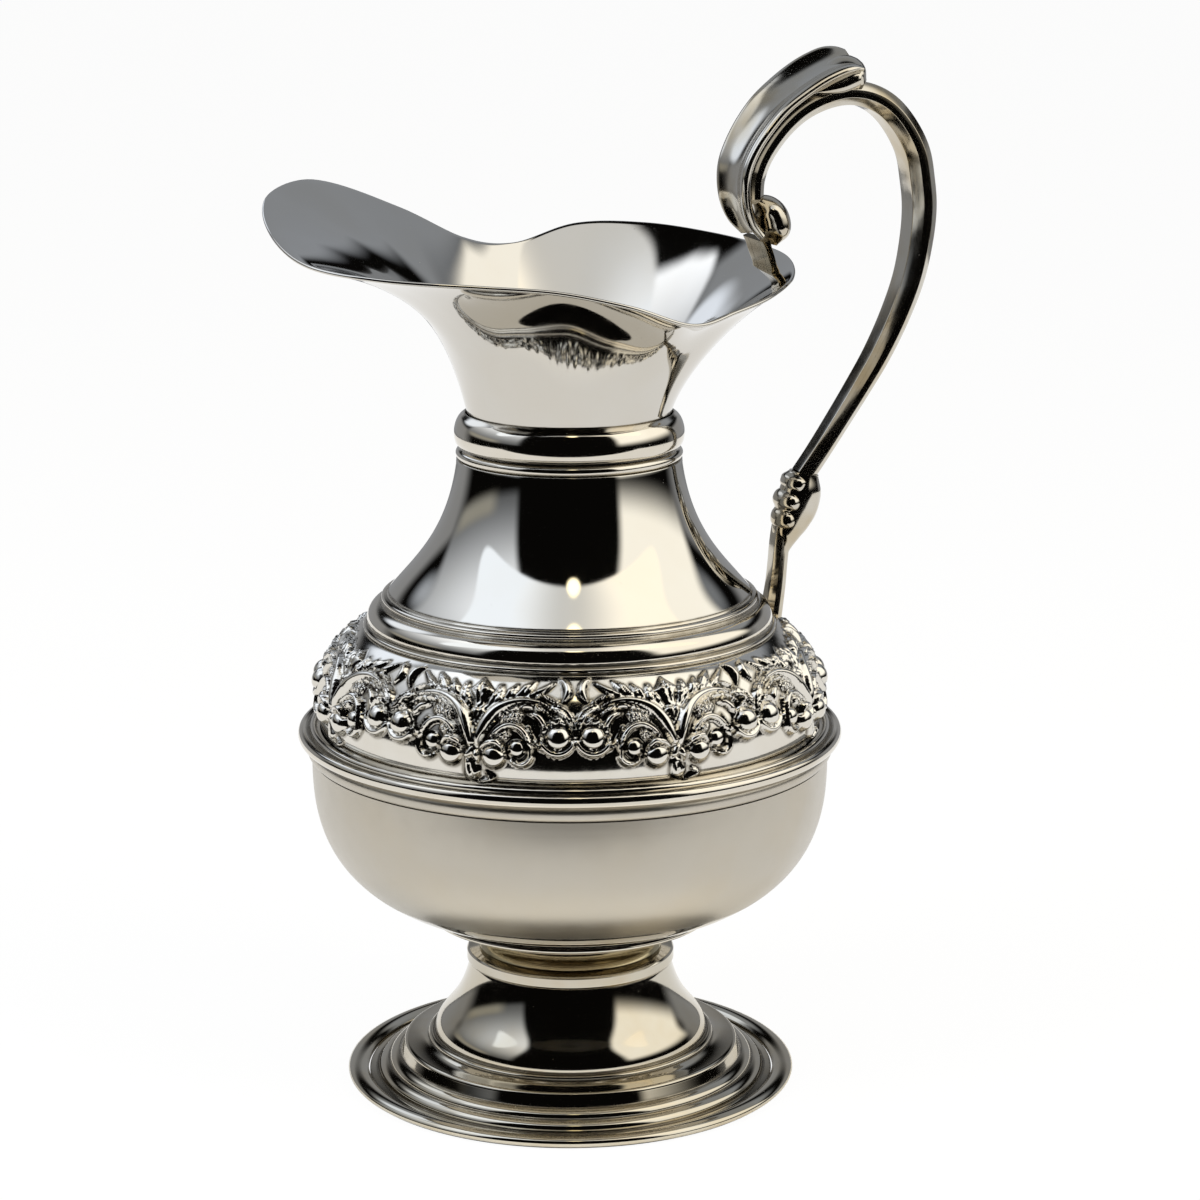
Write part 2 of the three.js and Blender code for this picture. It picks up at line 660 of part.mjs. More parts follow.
// Frieze: the main forms of the chased relief, drawn on the unrolled band and wrapped round the shoulder.
// Across is a share of one repeat from its pendant, up is a share of the shoulder's face.
const faceLengths = [0];
shoulderFace.slice(1).forEach((p, index) => {
  faceLengths.push(faceLengths[index] + p.distanceTo(shoulderFace[index]));
});
const faceLength = faceLengths[faceLengths.length - 1];
const repeatWidth = (girdleSeatRadius * Math.PI * 2) / friezeRepeats;

function wrapped(across, up, height, repeat) {
  const along = up * faceLength;
  let start = 0;
  while (start + 2 < shoulderFace.length && faceLengths[start + 1] <= along) start += 1;
  const low = shoulderFace[start];
  const high = shoulderFace[start + 1];
  const share = (along - faceLengths[start]) / (faceLengths[start + 1] - faceLengths[start]);
  const at = low.clone().lerp(high, share);
  const heading = high.clone().sub(low).normalize();
  const radius = at.x + heading.y * height;
  const level = at.y - heading.x * height;
  const turn = THREE.MathUtils.degToRad(friezeTurn) + ((across + repeat) / friezeRepeats) * Math.PI * 2;
  return [radius * Math.cos(turn), radius * Math.sin(turn), level];
}

// A nut: a low dome on the band
const domeSides = 6;
const domeRings = [{ spreadShare: 1, riseShare: 0 }, { spreadShare: 0.8, riseShare: 0.66 }];
function dome(across, up, size, repeat) {
  const positions = [];
  for (const { spreadShare, riseShare } of domeRings) {
    for (let side = 0; side < domeSides; side += 1) {
      const angle = (side / domeSides) * Math.PI * 2;
      const x = across + (spreadShare * size * Math.cos(angle)) / repeatWidth;
      const y = up + (spreadShare * size * Math.sin(angle)) / faceLength;
      positions.push(...wrapped(x, y, mix(-reliefRoot, reliefHeight, riseShare), repeat));
    }
  }
  positions.push(...wrapped(across, up, reliefHeight, repeat));
  const top = domeSides * domeRings.length;
  const faces = [];
  for (let side = 0; side < domeSides; side += 1) {
    const next = (side + 1) % domeSides;
    faces.push([side, next, domeSides + next], [side, domeSides + next, domeSides + side]);
    faces.push([domeSides + side, domeSides + next, top]);
    if (side > 0 && next > 0) faces.push([0, next, side]);
  }
  return closedGeometry(positions, faces);
}

// A scroll stem: a ridge that follows its line and tapers at both ends
function ridge(line, widthShares, repeat) {
  const positions = [];
  line.forEach(([across, up], index) => {
    const before = line[Math.max(index - 1, 0)];
    const after = line[Math.min(index + 1, line.length - 1)];
    const heading = point((after[0] - before[0]) * repeatWidth, (after[1] - before[1]) * faceLength);
    const half = heading.normalize().multiplyScalar((scrollWidth * widthShares[index]) / 2);
    const x = half.y / repeatWidth;
    const y = half.x / faceLength;
    positions.push(...wrapped(across - x, up + y, -reliefRoot, repeat));
    positions.push(...wrapped(across, up, reliefHeight * widthShares[index], repeat));
    positions.push(...wrapped(across + x, up - y, -reliefRoot, repeat));
  });
  const corners = positions.length / line.length / 3;
  const faces = [];
  for (let here = 0; here + corners < line.length * corners; here += corners) {
    for (let corner = 0; corner < corners; corner += 1) {
      const next = (corner + 1) % corners;
      const there = here + corners;
      faces.push([here + corner, here + next, there + next], [here + corner, there + next, there + corner]);
    }
  }
  const last = (line.length - 1) * corners;
  faces.push([2, 1, 0], [last, last + 1, last + 2]);
  return closedGeometry(positions, faces);
}

// Each repeat is mirrored about its pendant: two pairs of nuts under two scroll stems
const nutPlaceShares = [[0.101, 0.307], [0.418, 0.46]];
const scrollLineShares = [[0.012, 0.37], [0.05, 0.56], [0.16, 0.7], [0.33, 0.72], [0.47, 0.58]];
const scrollWidthShares = [0.5, 0.85, 1, 0.85, 0.45];
const relief = [];
for (let repeat = 0; repeat < friezeRepeats; repeat += 1) {
  for (const side of [1, -1]) {
    nutPlaceShares.forEach(([across, up]) => relief.push(dome(across * side, up, nutRadius, repeat)));
    const scrollLine = scrollLineShares.map(([across, up]) => [across * side, up]);
    relief.push(ridge(scrollLine, scrollWidthShares, repeat));
  }
}
const reliefBlank = manifoldModule.Manifold.union(relief.map(toManifold));
const reliefRing = reliefBlank.subtract(toManifold(legSeat));
const shoulder = largest(toManifold(shoulderPlain).add(reliefRing));

// Spur: the short curl behind the foot of the ribbon
const spurPathShares = [[0.191, 0.731], [0.239, 0.712], [0.27, 0.689], [0.267, 0.666], [0.255, 0.652]];
const spurWidthShares = [0.7, 0.95, 1, 1, 0.8];
const spurThicknessShares = [0.55, 0.95, 1.1, 1.05, 0.5];
const spurBlank = swept({
  path: spurPathShares.map(handlePoint),
  stations: 10,
  section: facetSectionShares,
  widths: spurWidthShares.map((share) => share * spurWidth),
  thicknesses: spurThicknessShares.map((share) => share * spurThickness),
});
const archRoot = swept({
  path: archPath,
  stations: archStations,
  section: seatSectionShares,
  widths: archWidthShares.map((share) => share * archWidth + spurWidth),
  thicknesses: archThicknessShares.map((share) => share * archThickness + solderGap * 2),
});
const spur = fitted(fitted(spurBlank, ribbonSeat), archRoot);

// Finishes: each piece has its own plate
const pieces = [
  ['foot_rim', footRim, 0xc9c5bc, 0.12],
  ['foot_bell', footBell, 0xc6c2b9, 0.1],
  ['foot_top_ring', footRing, 0xcac6bd, 0.14],
  ['stem_boss', stemBoss, 0xb9b19f, 0.2],
  ['bowl_reed_ring', reedRing, 0xbdb6a8, 0.2],
  ['bowl', bowl, 0xbfbab1, 0.3],
  ['girdle_moulding', moulding, 0xc4bfb6, 0.22],
  ['girdle_bead', girdle, 0xcbc7be, 0.14],
  ['shoulder_band', shoulder, 0xbcb7ae, 0.18],
  ['shoulder_step', shoulderStep, 0xc7c3ba, 0.14],
  ['neck_cone', neckCone, 0xcecac2, 0.08],
  ['neck_bead', neckBead, 0xcac6bd, 0.14],
  ['neck_collar', collar, 0xcdc9c0, 0.1],
  ['mouth', mouth, 0xccc8c0, 0.1],
  ['handle_strap', strap, 0xc2b79f, 0.16],
  ['handle_thumb_ribbon', ribbon, 0xcbc7be, 0.12],
  ['handle_spur', spur, 0xc4bfb3, 0.14],
  ['handle_arch', arch, 0xc6c1b6, 0.12],
  ['handle_knuckle', knuckle, 0xbdb5a5, 0.2],
  ['handle_leg', leg, 0xbfb8a8, 0.18],
];

const carafe = new THREE.Group();
carafe.name = 'water_carafe';
const extent = new THREE.Box3();
for (const [name, geometry] of pieces) {
  geometry.computeBoundingBox();
  extent.union(geometry.boundingBox);
}
const middle = extent.getCenter(new THREE.Vector3());
for (const [name, geometry, colour, roughness] of pieces) {
  geometry.translate(-middle.x, -middle.y, -extent.min.z);
  const mesh = new THREE.Mesh(geometry, finish(`plate_${name}`, colour, roughness));
  mesh.name = name;
  carafe.add(mesh);
}

export default carafe;
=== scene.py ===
"""Dresses the water carafe: a silver-plated ewer with a chased shoulder band, a wavy mouth and a scroll handle.

Lengths in the classes are millimetres, as a silversmith would write them. They are turned to metres when a
mesh is made. Radii are measured from the vessel's own axis, and the handle is drawn in the plane y = 0.
"""

from __future__ import annotations

import logging
import math
from dataclasses import astuple, dataclass
from enum import Enum
from typing import Any, Sequence, Union

import bpy
import numpy as np
from mathutils import Matrix, Vector

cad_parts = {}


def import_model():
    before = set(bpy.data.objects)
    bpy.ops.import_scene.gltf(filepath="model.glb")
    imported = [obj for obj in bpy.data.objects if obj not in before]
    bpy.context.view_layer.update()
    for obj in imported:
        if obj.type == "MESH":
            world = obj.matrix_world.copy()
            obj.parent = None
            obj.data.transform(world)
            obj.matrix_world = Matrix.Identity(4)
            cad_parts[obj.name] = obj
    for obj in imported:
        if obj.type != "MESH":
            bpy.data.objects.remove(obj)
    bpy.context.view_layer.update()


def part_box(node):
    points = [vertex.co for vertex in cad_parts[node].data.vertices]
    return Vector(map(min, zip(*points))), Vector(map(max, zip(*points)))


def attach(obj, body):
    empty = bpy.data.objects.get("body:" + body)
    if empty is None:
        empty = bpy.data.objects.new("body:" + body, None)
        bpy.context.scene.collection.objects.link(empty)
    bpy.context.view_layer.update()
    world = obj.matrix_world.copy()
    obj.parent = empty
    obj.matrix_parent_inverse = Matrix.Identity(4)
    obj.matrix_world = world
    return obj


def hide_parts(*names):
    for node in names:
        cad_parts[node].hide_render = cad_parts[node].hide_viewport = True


MM = 0.001
BODY = "root"
RECESS = "recess"
HATCH = "hatch"
UNROLLED = "unrolled"
TINY = 1e-6
CURVE_STEPS = 12
FULL_GROOVE_TURN = 1.1
STAGE_GREY = "#8F8A84"

Point = tuple[float, float]
Line = list[Point]
Feed = Union[bpy.types.Node, bpy.types.NodeSocket]

log = logging.getLogger("carafe")


# Lines and outlines


def mix(start: float, end: float, share: float) -> float:
    """Returns the value that lies share of the way from start to end."""
    return start + (end - start) * share


def bezier(start: Point, pull_out: Point, pull_in: Point, end: Point, steps: int = 24) -> Line:
    """Draws one smooth bend.

    Args:
        start: first point.
        pull_out: the handle that the line leaves start towards.
        pull_in: the handle that the line comes to end from.
        end: last point.
        steps: how many pieces the bend is cut into.

    Returns:
        The points of the bend, both ends among them.
    """
    line: Line = []
    for step in range(steps + 1):
        t = step / steps
        weights = ((1 - t) ** 3, 3 * (1 - t) ** 2 * t, 3 * (1 - t) * t**2, t**3)
        corners = (start, pull_out, pull_in, end)
        line.append(tuple(sum(w * c[axis] for w, c in zip(weights, corners)) for axis in (0, 1)))
    return line


def arc(centre: Point, reach: Point, start: float, end: float, steps: int = 12) -> Line:
    """Draws part of an ellipse.

    Args:
        centre: middle of the ellipse.
        reach: its half width and half height.
        start: angle of the first point in degrees, from the outward side.
        end: angle of the last point in degrees.
        steps: how many pieces the arc is cut into.

    Returns:
        The points of the arc.
    """
    angles = [math.radians(mix(start, end, step / steps)) for step in range(steps + 1)]
    return [(centre[0] + reach[0] * math.cos(a), centre[1] + reach[1] * math.sin(a)) for a in angles]


def catmull(points: Sequence[Sequence[float]], place: float) -> tuple[float, ...]:
    """Reads a smooth curve through points.

    Args:
        points: the points that the curve passes through, evenly spaced in its own measure.
        place: 0 at the first point, 1 at the second and so on.

    Returns:
        The point of the curve at that place.
    """
    last = len(points) - 1
    index = min(int(place), last - 1)
    t = place - index
    around = [points[min(max(index + shift, 0), last)] for shift in (-1, 0, 1, 2)]
    weights = (
        0.5 * (-t + 2 * t * t - t**3),
        0.5 * (2 - 5 * t * t + 3 * t**3),
        0.5 * (t + 4 * t * t - 3 * t**3),
        0.5 * (-t * t + t**3),
    )
    return tuple(sum(w * p[axis] for w, p in zip(weights, around)) for axis in range(len(points[0])))


def along(values: Sequence[float], share: float) -> float:
    """Returns a value that changes smoothly along a piece, at share of its length."""
    return catmull([(value,) for value in values], share * (len(values) - 1))[0]


def smooth(points: Line, steps: int) -> Line:
    """Draws a smooth line through points.

    Args:
        points: the points to pass through.
        steps: how many pieces the line is cut into.

    Returns:
        The points of the line, evenly spaced along it.
    """
    fine = [catmull(points, step / CURVE_STEPS) for step in range((len(points) - 1) * CURVE_STEPS + 1)]
    lengths = [0.0]
    for before, after in zip(fine, fine[1:]):
        lengths.append(lengths[-1] + math.dist(before, after))
    line: Line = []
    index = 0
    for step in range(steps + 1):
        target = lengths[-1] * step / steps
        while index < len(fine) - 2 and lengths[index + 1] < target:
            index += 1
        span = lengths[index + 1] - lengths[index]
        share = (target - lengths[index]) / span if span else 0.0
        line.append(tuple(mix(a, b, share) for a, b in zip(fine[index], fine[index + 1])))
    return line


def offset(line: Line, distance: float) -> Line:
    """Moves a line sideways by a sheet's thickness, with mitred corners.

    Args:
        line: the outer face of the sheet.
        distance: how far the other face lies from it, to the left of the line's direction.

    Returns:
        The line of the other face.
    """
    moved: Line = []
    for index, here in enumerate(line):
        before = line[max(index - 1, 0)]
        after = line[min(index + 1, len(line) - 1)]
        arrive = Vector(here) - Vector(before) if index else Vector(after) - Vector(here)
        leave = Vector(after) - Vector(here) if index < len(line) - 1 else arrive
        arrive, leave = arrive.normalized(), leave.normalized()
        normal = Vector((-arrive.y - leave.y, arrive.x + leave.x)).normalized()
        reach = distance / max(normal.x * -arrive.y + normal.y * arrive.x, 0.5)
        moved.append((max(here[0] + normal.x * reach, 0.0), here[1] + normal.y * reach))
    return moved


def sheet(line: Line, distance: float) -> Line:
    """Returns the closed outline of a sheet whose outer face is line."""
    return [*line, *reversed(offset(line, distance))]


def eased(outline: Line, radius: float, limit: float = 18.0, side_share: float = 0.45,
          most_turn: float = 2.6) -> Line:
    """Takes the sharpness off the corners of a closed outline, as polishing does.

    Args:
        outline: the closed outline.
        radius: the corner radius that polishing leaves.
        limit: corners that turn less than this many degrees are left alone.
        side_share: how much of a side one corner may take.
        most_turn: sharper corners, in radians, are eased as if they turned this much.

    Returns:
        The outline with an arc in place of each sharp corner.
    """
    count = len(outline)
    line: Line = []
    for index, here in enumerate(outline):
        before, after = Vector(outline[index - 1]), Vector(outline[(index + 1) % count])
        corner = Vector(here)
        back, on = before - corner, after - corner
        if min(back.length, on.length) < TINY:
            continue
        turn = math.pi - back.angle(on)
        if turn < math.radians(limit) or here[0] == 0:
            line.append(here)
            continue
        cut = min(radius * math.tan(min(turn, most_turn) / 2), back.length * side_share, on.length * side_share)
        start, end = corner + back.normalized() * cut, corner + on.normalized() * cut
        for step in range(5):
            t = step / 4
            line.append(tuple(start * (1 - t) ** 2 + corner * 2 * t * (1 - t) + end * t * t))
    return line


def filled(outline: Line, spacing: float, beside: float = 0.18) -> Line:
    """Adds points on the long stretches of a closed outline, so that its shading stays true.

    Args:
        outline: the closed outline.
        spacing: the longest stretch that may stay without a point.
        beside: how far from each corner the first added point lies.

    Returns:
        The outline with the added points.
    """
    line: Line = []
    for index, here in enumerate(outline):
        after = outline[(index + 1) % len(outline)]
        length = math.dist(here, after)
        line.append(here)
        if length <= spacing:
            continue
        near = beside / length
        cuts = max(math.ceil(length / spacing), 2)
        shares = [near, *(cut / cuts for cut in range(1, cuts)), 1 - near]
        line.extend((mix(here[0], after[0], s), mix(here[1], after[1], s)) for s in shares)
    return line


# Meshes


@dataclass
class Bench:
    """Where meshes are made: knows the vessel's axis, and turns millimetres to metres."""

    axis: Vector

    def place(self, x: float, y: float, z: float) -> Vector:
        """Returns a point given from the vessel's axis in millimetres, in the frame's metres."""
        return Vector((self.axis.x + x * MM, self.axis.y + y * MM, z * MM))

    def mesh(self, name: str, points: Sequence[Vector], faces: Sequence[Sequence[int]],
             recess: Sequence[float] = (), sharp: float = 38.0) -> bpy.types.Object:
        """Makes a smooth-shaded mesh object.

        Args:
            name: the piece's name.
            points: its points in metres.
            faces: its faces, facing out.
            recess: how deep each point lies in a hollow, from 0 to 1, which sets its tarnish and painted shade.
            sharp: edges that turn more than this many degrees stay crisp.

        Returns:
            The new object.
        """
        data = bpy.data.meshes.new(name)
        data.from_pydata([tuple(p) for p in points], [], [tuple(face) for face in faces])
        data.validate()
        layer = data.attributes.new(RECESS, "FLOAT", "POINT")
        layer.data.foreach_set("value", list(recess) or [0.0] * len(points))
        data.shade_smooth()
        data.set_sharp_from_angle(angle=math.radians(sharp))
        piece = bpy.data.objects.new(name, data)
        bpy.context.scene.collection.objects.link(piece)
        return piece

    def turned(self, name: str, outline: Line, seams: Sequence[Point] = (), spacing: float = 1.6,
               steps: int = 160) -> bpy.types.Object:
        """Turns a closed outline round the vessel's axis, as a lathe does.

        Args:
            name: the piece's name.
            outline: radius and height of each point, going up on the outside.
            seams: places against a neighbour where polish and tarnish collect and shade is painted.
            spacing: the longest stretch between two points of the outline.
            steps: how many facets there are in a full turn.

        Returns:
            The turned object.
        """
        line = filled(outline, spacing)
        area = sum(a[0] * b[1] - b[0] * a[1] for a, b in zip(line, line[1:] + line[:1]))
        if area < 0:
            line = line[::-1]
        depth = hollows(line, seams)
        points: list[Vector] = []
        recess: list[float] = []
        starts: list[int] = []
        for (radius, height), value in zip(line, depth):
            starts.append(len(points))
            count = 1 if radius < TINY else steps
            for step in range(count):
                turn = 2 * math.pi * step / steps
                points.append(self.place(radius * math.cos(turn), radius * math.sin(turn), height))
                recess.append(value)
        single = [radius < TINY for radius, _ in line]
        faces: list[tuple[int, ...]] = []
        for row in range(len(line)):
            above = (row + 1) % len(line)
            if single[row] and single[above]:
                continue
            for step in range(steps):
                after = (step + 1) % steps
                low = (starts[row],) if single[row] else (starts[row] + step, starts[row] + after)
                high = (starts[above],) if single[above] else (starts[above] + after, starts[above] + step)
                faces.append((*low, *high))
        return self.mesh(name, points, faces, recess)

    def swept(self, rail: "Rail", line: Line, section: Line) -> bpy.types.Object:
        """Carries a section along a line in the handle's plane, with closed ends.

        Args:
            rail: the piece's name, and its widths, thicknesses and rolls along the line.
            line: the line in millimetres.
            section: the closed section in shares of width and thickness.

        Returns:
            The swept object.
        """
        stations, count = rail.stations, len(section)
        path = smooth(line, stations)
        widths = [rail.width * s for s in rail.widths]
        thicknesses = [rail.thickness * s for s in rail.thicknesses]
        points: list[Vector] = []
        recess: list[float] = []
        for station, (x, z) in enumerate(path):
            share = station / stations
            before, after = path[max(station - 1, 0)], path[min(station + 1, stations)]
            heading = Vector((after[0] - before[0], 0, after[1] - before[1])).normalized()
            across = Matrix.Rotation(math.radians(along(rail.rolls, share)), 3, heading) @ Vector((0, 1, 0))
            out = heading.cross(across).normalized()
            width, thickness = along(widths, share), along(thicknesses, share)
            for side, face in section:
                corner = Vector((x, 0, z)) + across * side * width + out * face * thickness
                points.append(self.place(*corner))
            recess.extend([min(max(along(rail.tarnish_and_shade, share), 0.0), 1.0)] * count)
        faces: list[tuple[int, ...]] = []
        for station in range(stations):
            here, there = station * count, (station + 1) * count
            for index in range(count):
                after = (index + 1) % count
                faces.append((here + index, there + index, there + after, here + after))
        for ring, backwards in ((0, False), (stations * count, True)):
            middle = sum((points[ring + index] for index in range(count)), Vector()) / count
            points.append(middle)
            recess.append(0.0)
            for index in range(count):
                after = (index + 1) % count
                pair = (ring + after, ring + index) if backwards else (ring + index, ring + after)
                faces.append((*pair, len(points) - 1))
        return faced(self.mesh(rail.name, points, faces, recess))


def hollows(line: Line, seams: Sequence[Point], window: float = 0.9) -> list[float]:
    """Finds how hollow a closed outline is at each point, because that is where tarnish stays and shade is painted.

    Args:
        line: the closed outline, going up on the outside.
        seams: places that count as hollow though the outline doesn't show it.
        window: how far to each side the outline is looked at, and how far a seam reaches, in millimetres.

    Returns:
        A value from 0 on plain and raised parts to 1 in a deep groove.
    """
    count = len(line)
    values: list[float] = []
    for index, here in enumerate(line):
        ends = []
        for way in (-1, 1):
            step, run = index, 0.0
            while run < window and abs(step - index) < count:
                run += math.dist(line[step % count], line[(step + way) % count])
                step += way
            ends.append(Vector(line[step % count]))
        arrive, leave = Vector(here) - ends[0], ends[1] - Vector(here)
        turn = 0.0
        if min(arrive.length, leave.length) > TINY:
            turn = math.atan2(arrive.x * leave.y - arrive.y * leave.x, arrive.dot(leave))
        value = min(max(-turn / FULL_GROOVE_TURN, 0.0), 1.0)
        values.append(max(value, *(1.0 - math.dist(here, seam) / window for seam in seams)) if seams else value)
    return values


def faced(piece: bpy.types.Object) -> bpy.types.Object:
    """Turns a closed mesh the right way out if it was drawn inside out, and returns it."""
    data = piece.data
    data.calc_loop_triangles()
    volume = 0.0
    for triangle in data.loop_triangles:
        a, b, c = (data.vertices[index].co for index in triangle.vertices)
        volume += a.dot(b.cross(c))
    if volume < 0:
        data.flip_normals()
    return piece


# Finishes


def linear(colour: str) -> tuple[float, float, float, float]:
    """Turns an sRGB hex colour, such as #C9C5BC, to the linear values that a shader takes."""
    channels = [int(colour[index : index + 2], 16) / 255 for index in (1, 3, 5)]
    low = [c / 12.92 if c <= 0.04045 else ((c + 0.055) / 1.055) ** 2.4 for c in channels]
    return (low[0], low[1], low[2], 1.0)


def add(tree: bpy.types.NodeTree, kind: str, settings: dict[str, Any] | None = None,
        sockets: dict[Any, Any] | None = None) -> bpy.types.Node:
    """Adds a node with its settings and links.

    Args:
        tree: the node tree.
        kind: the node's type.
        settings: the node's own properties.
        sockets: a value for each input, the output that feeds it, or a node whose first output does.

    Returns:
        The new node.
    """
    node = tree.nodes.new(kind)
    for name, value in (settings or {}).items():
        setattr(node, name, value)
    for name, value in (sockets or {}).items():
        feed = value.outputs[0] if isinstance(value, bpy.types.Node) else value
        if isinstance(feed, bpy.types.NodeSocket):
            tree.links.new(feed, node.inputs[name])
        else:
            node.inputs[name].default_value = feed
    return node


def blank(name: str) -> tuple[bpy.types.Material, bpy.types.NodeTree]:
    """Starts a material without nodes, and returns it with its node tree."""
    material = bpy.data.materials.new(name)
    material.use_nodes = True
    material.node_tree.nodes.clear()
    return material, material.node_tree


def plainly_seen(tree: bpy.types.NodeTree) -> tuple[bpy.types.Node, bpy.types.Node]:
    """Adds the test that is 1 where the camera sees a thing straight, mirrored or through glass, after its rays."""
    rays = add(tree, "ShaderNodeLightPath")
    seen = add(tree, "ShaderNodeMath", {"operation": "ADD"}, {
        0: rays.outputs["Is Camera Ray"], 1: rays.outputs["Is Glossy Ray"]})
    return rays, add(tree, "ShaderNodeMath", {"operation": "ADD", "use_clamp": True}, {
        0: seen, 1: rays.outputs["Is Transmission Ray"]})


def grow(piece: bpy.types.Object, tree: bpy.types.NodeTree, values: dict[str, Any],
         sharp: float) -> bpy.types.Object:
    """Runs a Geometry Nodes tree on a piece and keeps what it made as a plain mesh.

    Args:
        piece: the object that the tree starts from.
        tree: the tree.
        values: a value for each named input.
        sharp: edges that turn more than this many degrees stay crisp.

    Returns:
        The same object, with the new mesh and no modifier.
    """
    modifier = piece.modifiers.new(tree.name, "NODES")
    modifier.node_group = tree
    for item in tree.interface.items_tree:
        if item.item_type == "SOCKET" and item.in_out == "INPUT" and item.name in values:
            modifier[item.identifier] = values[item.name]
    graph = bpy.context.evaluated_depsgraph_get()
    made = bpy.data.meshes.new_from_object(
        piece.evaluated_get(graph), preserve_all_data_layers=True, depsgraph=graph)
    piece.modifiers.remove(modifier)
    made.name = piece.name
    made.shade_smooth()
    made.set_sharp_from_angle(angle=math.radians(sharp))
    piece.data = made
    return faced(piece)


def nodes_for(name: str, inputs: Sequence[tuple[str, str]]) -> tuple[bpy.types.NodeTree, Any]:
    """Starts a Geometry Nodes tree.

    Args:
        name: the tree's name.
        inputs: the name and socket type of each named input after the geometry.

    Returns:
        The tree, and what it is given under each input's name.
    """
    tree = bpy.data.node_groups.new(name, "GeometryNodeTree")
    tree.interface.new_socket("Geometry", in_out="INPUT", socket_type="NodeSocketGeometry")
    for title, kind in inputs:
        tree.interface.new_socket(title, in_out="INPUT", socket_type=f"NodeSocket{kind}")
    tree.interface.new_socket("Geometry", in_out="OUTPUT", socket_type="NodeSocketGeometry")
    return tree, tree.nodes.new("NodeGroupInput").outputs


def end_tree(tree: bpy.types.NodeTree, shape: bpy.types.Node, weld: Feed, finish: Feed) -> bpy.types.NodeTree:
    """Ends a Geometry Nodes tree with real, closed and dressed geometry.

    Args:
        tree: the tree.
        shape: the node that made the shape.
        weld: points nearer than this become one.
        finish: the material.

    Returns:
        The same tree.
    """
    real = add(tree, "GeometryNodeRealizeInstances", None, {"Geometry": shape})
    closed = add(tree, "GeometryNodeMergeByDistance", None, {"Geometry": real, "Distance": weld})
    dressed = add(tree, "GeometryNodeSetMaterial", None, {"Geometry": closed, "Material": finish})
    add(tree, "NodeGroupOutput", None, {"Geometry": dressed})
    return tree


class Working(Enum):
    """How the metal was worked, which sets the fine marks on its surface."""

    SPUN = "spun"
    RAISED = "raised"
    CAST = "cast"
    CHASED = "chased"


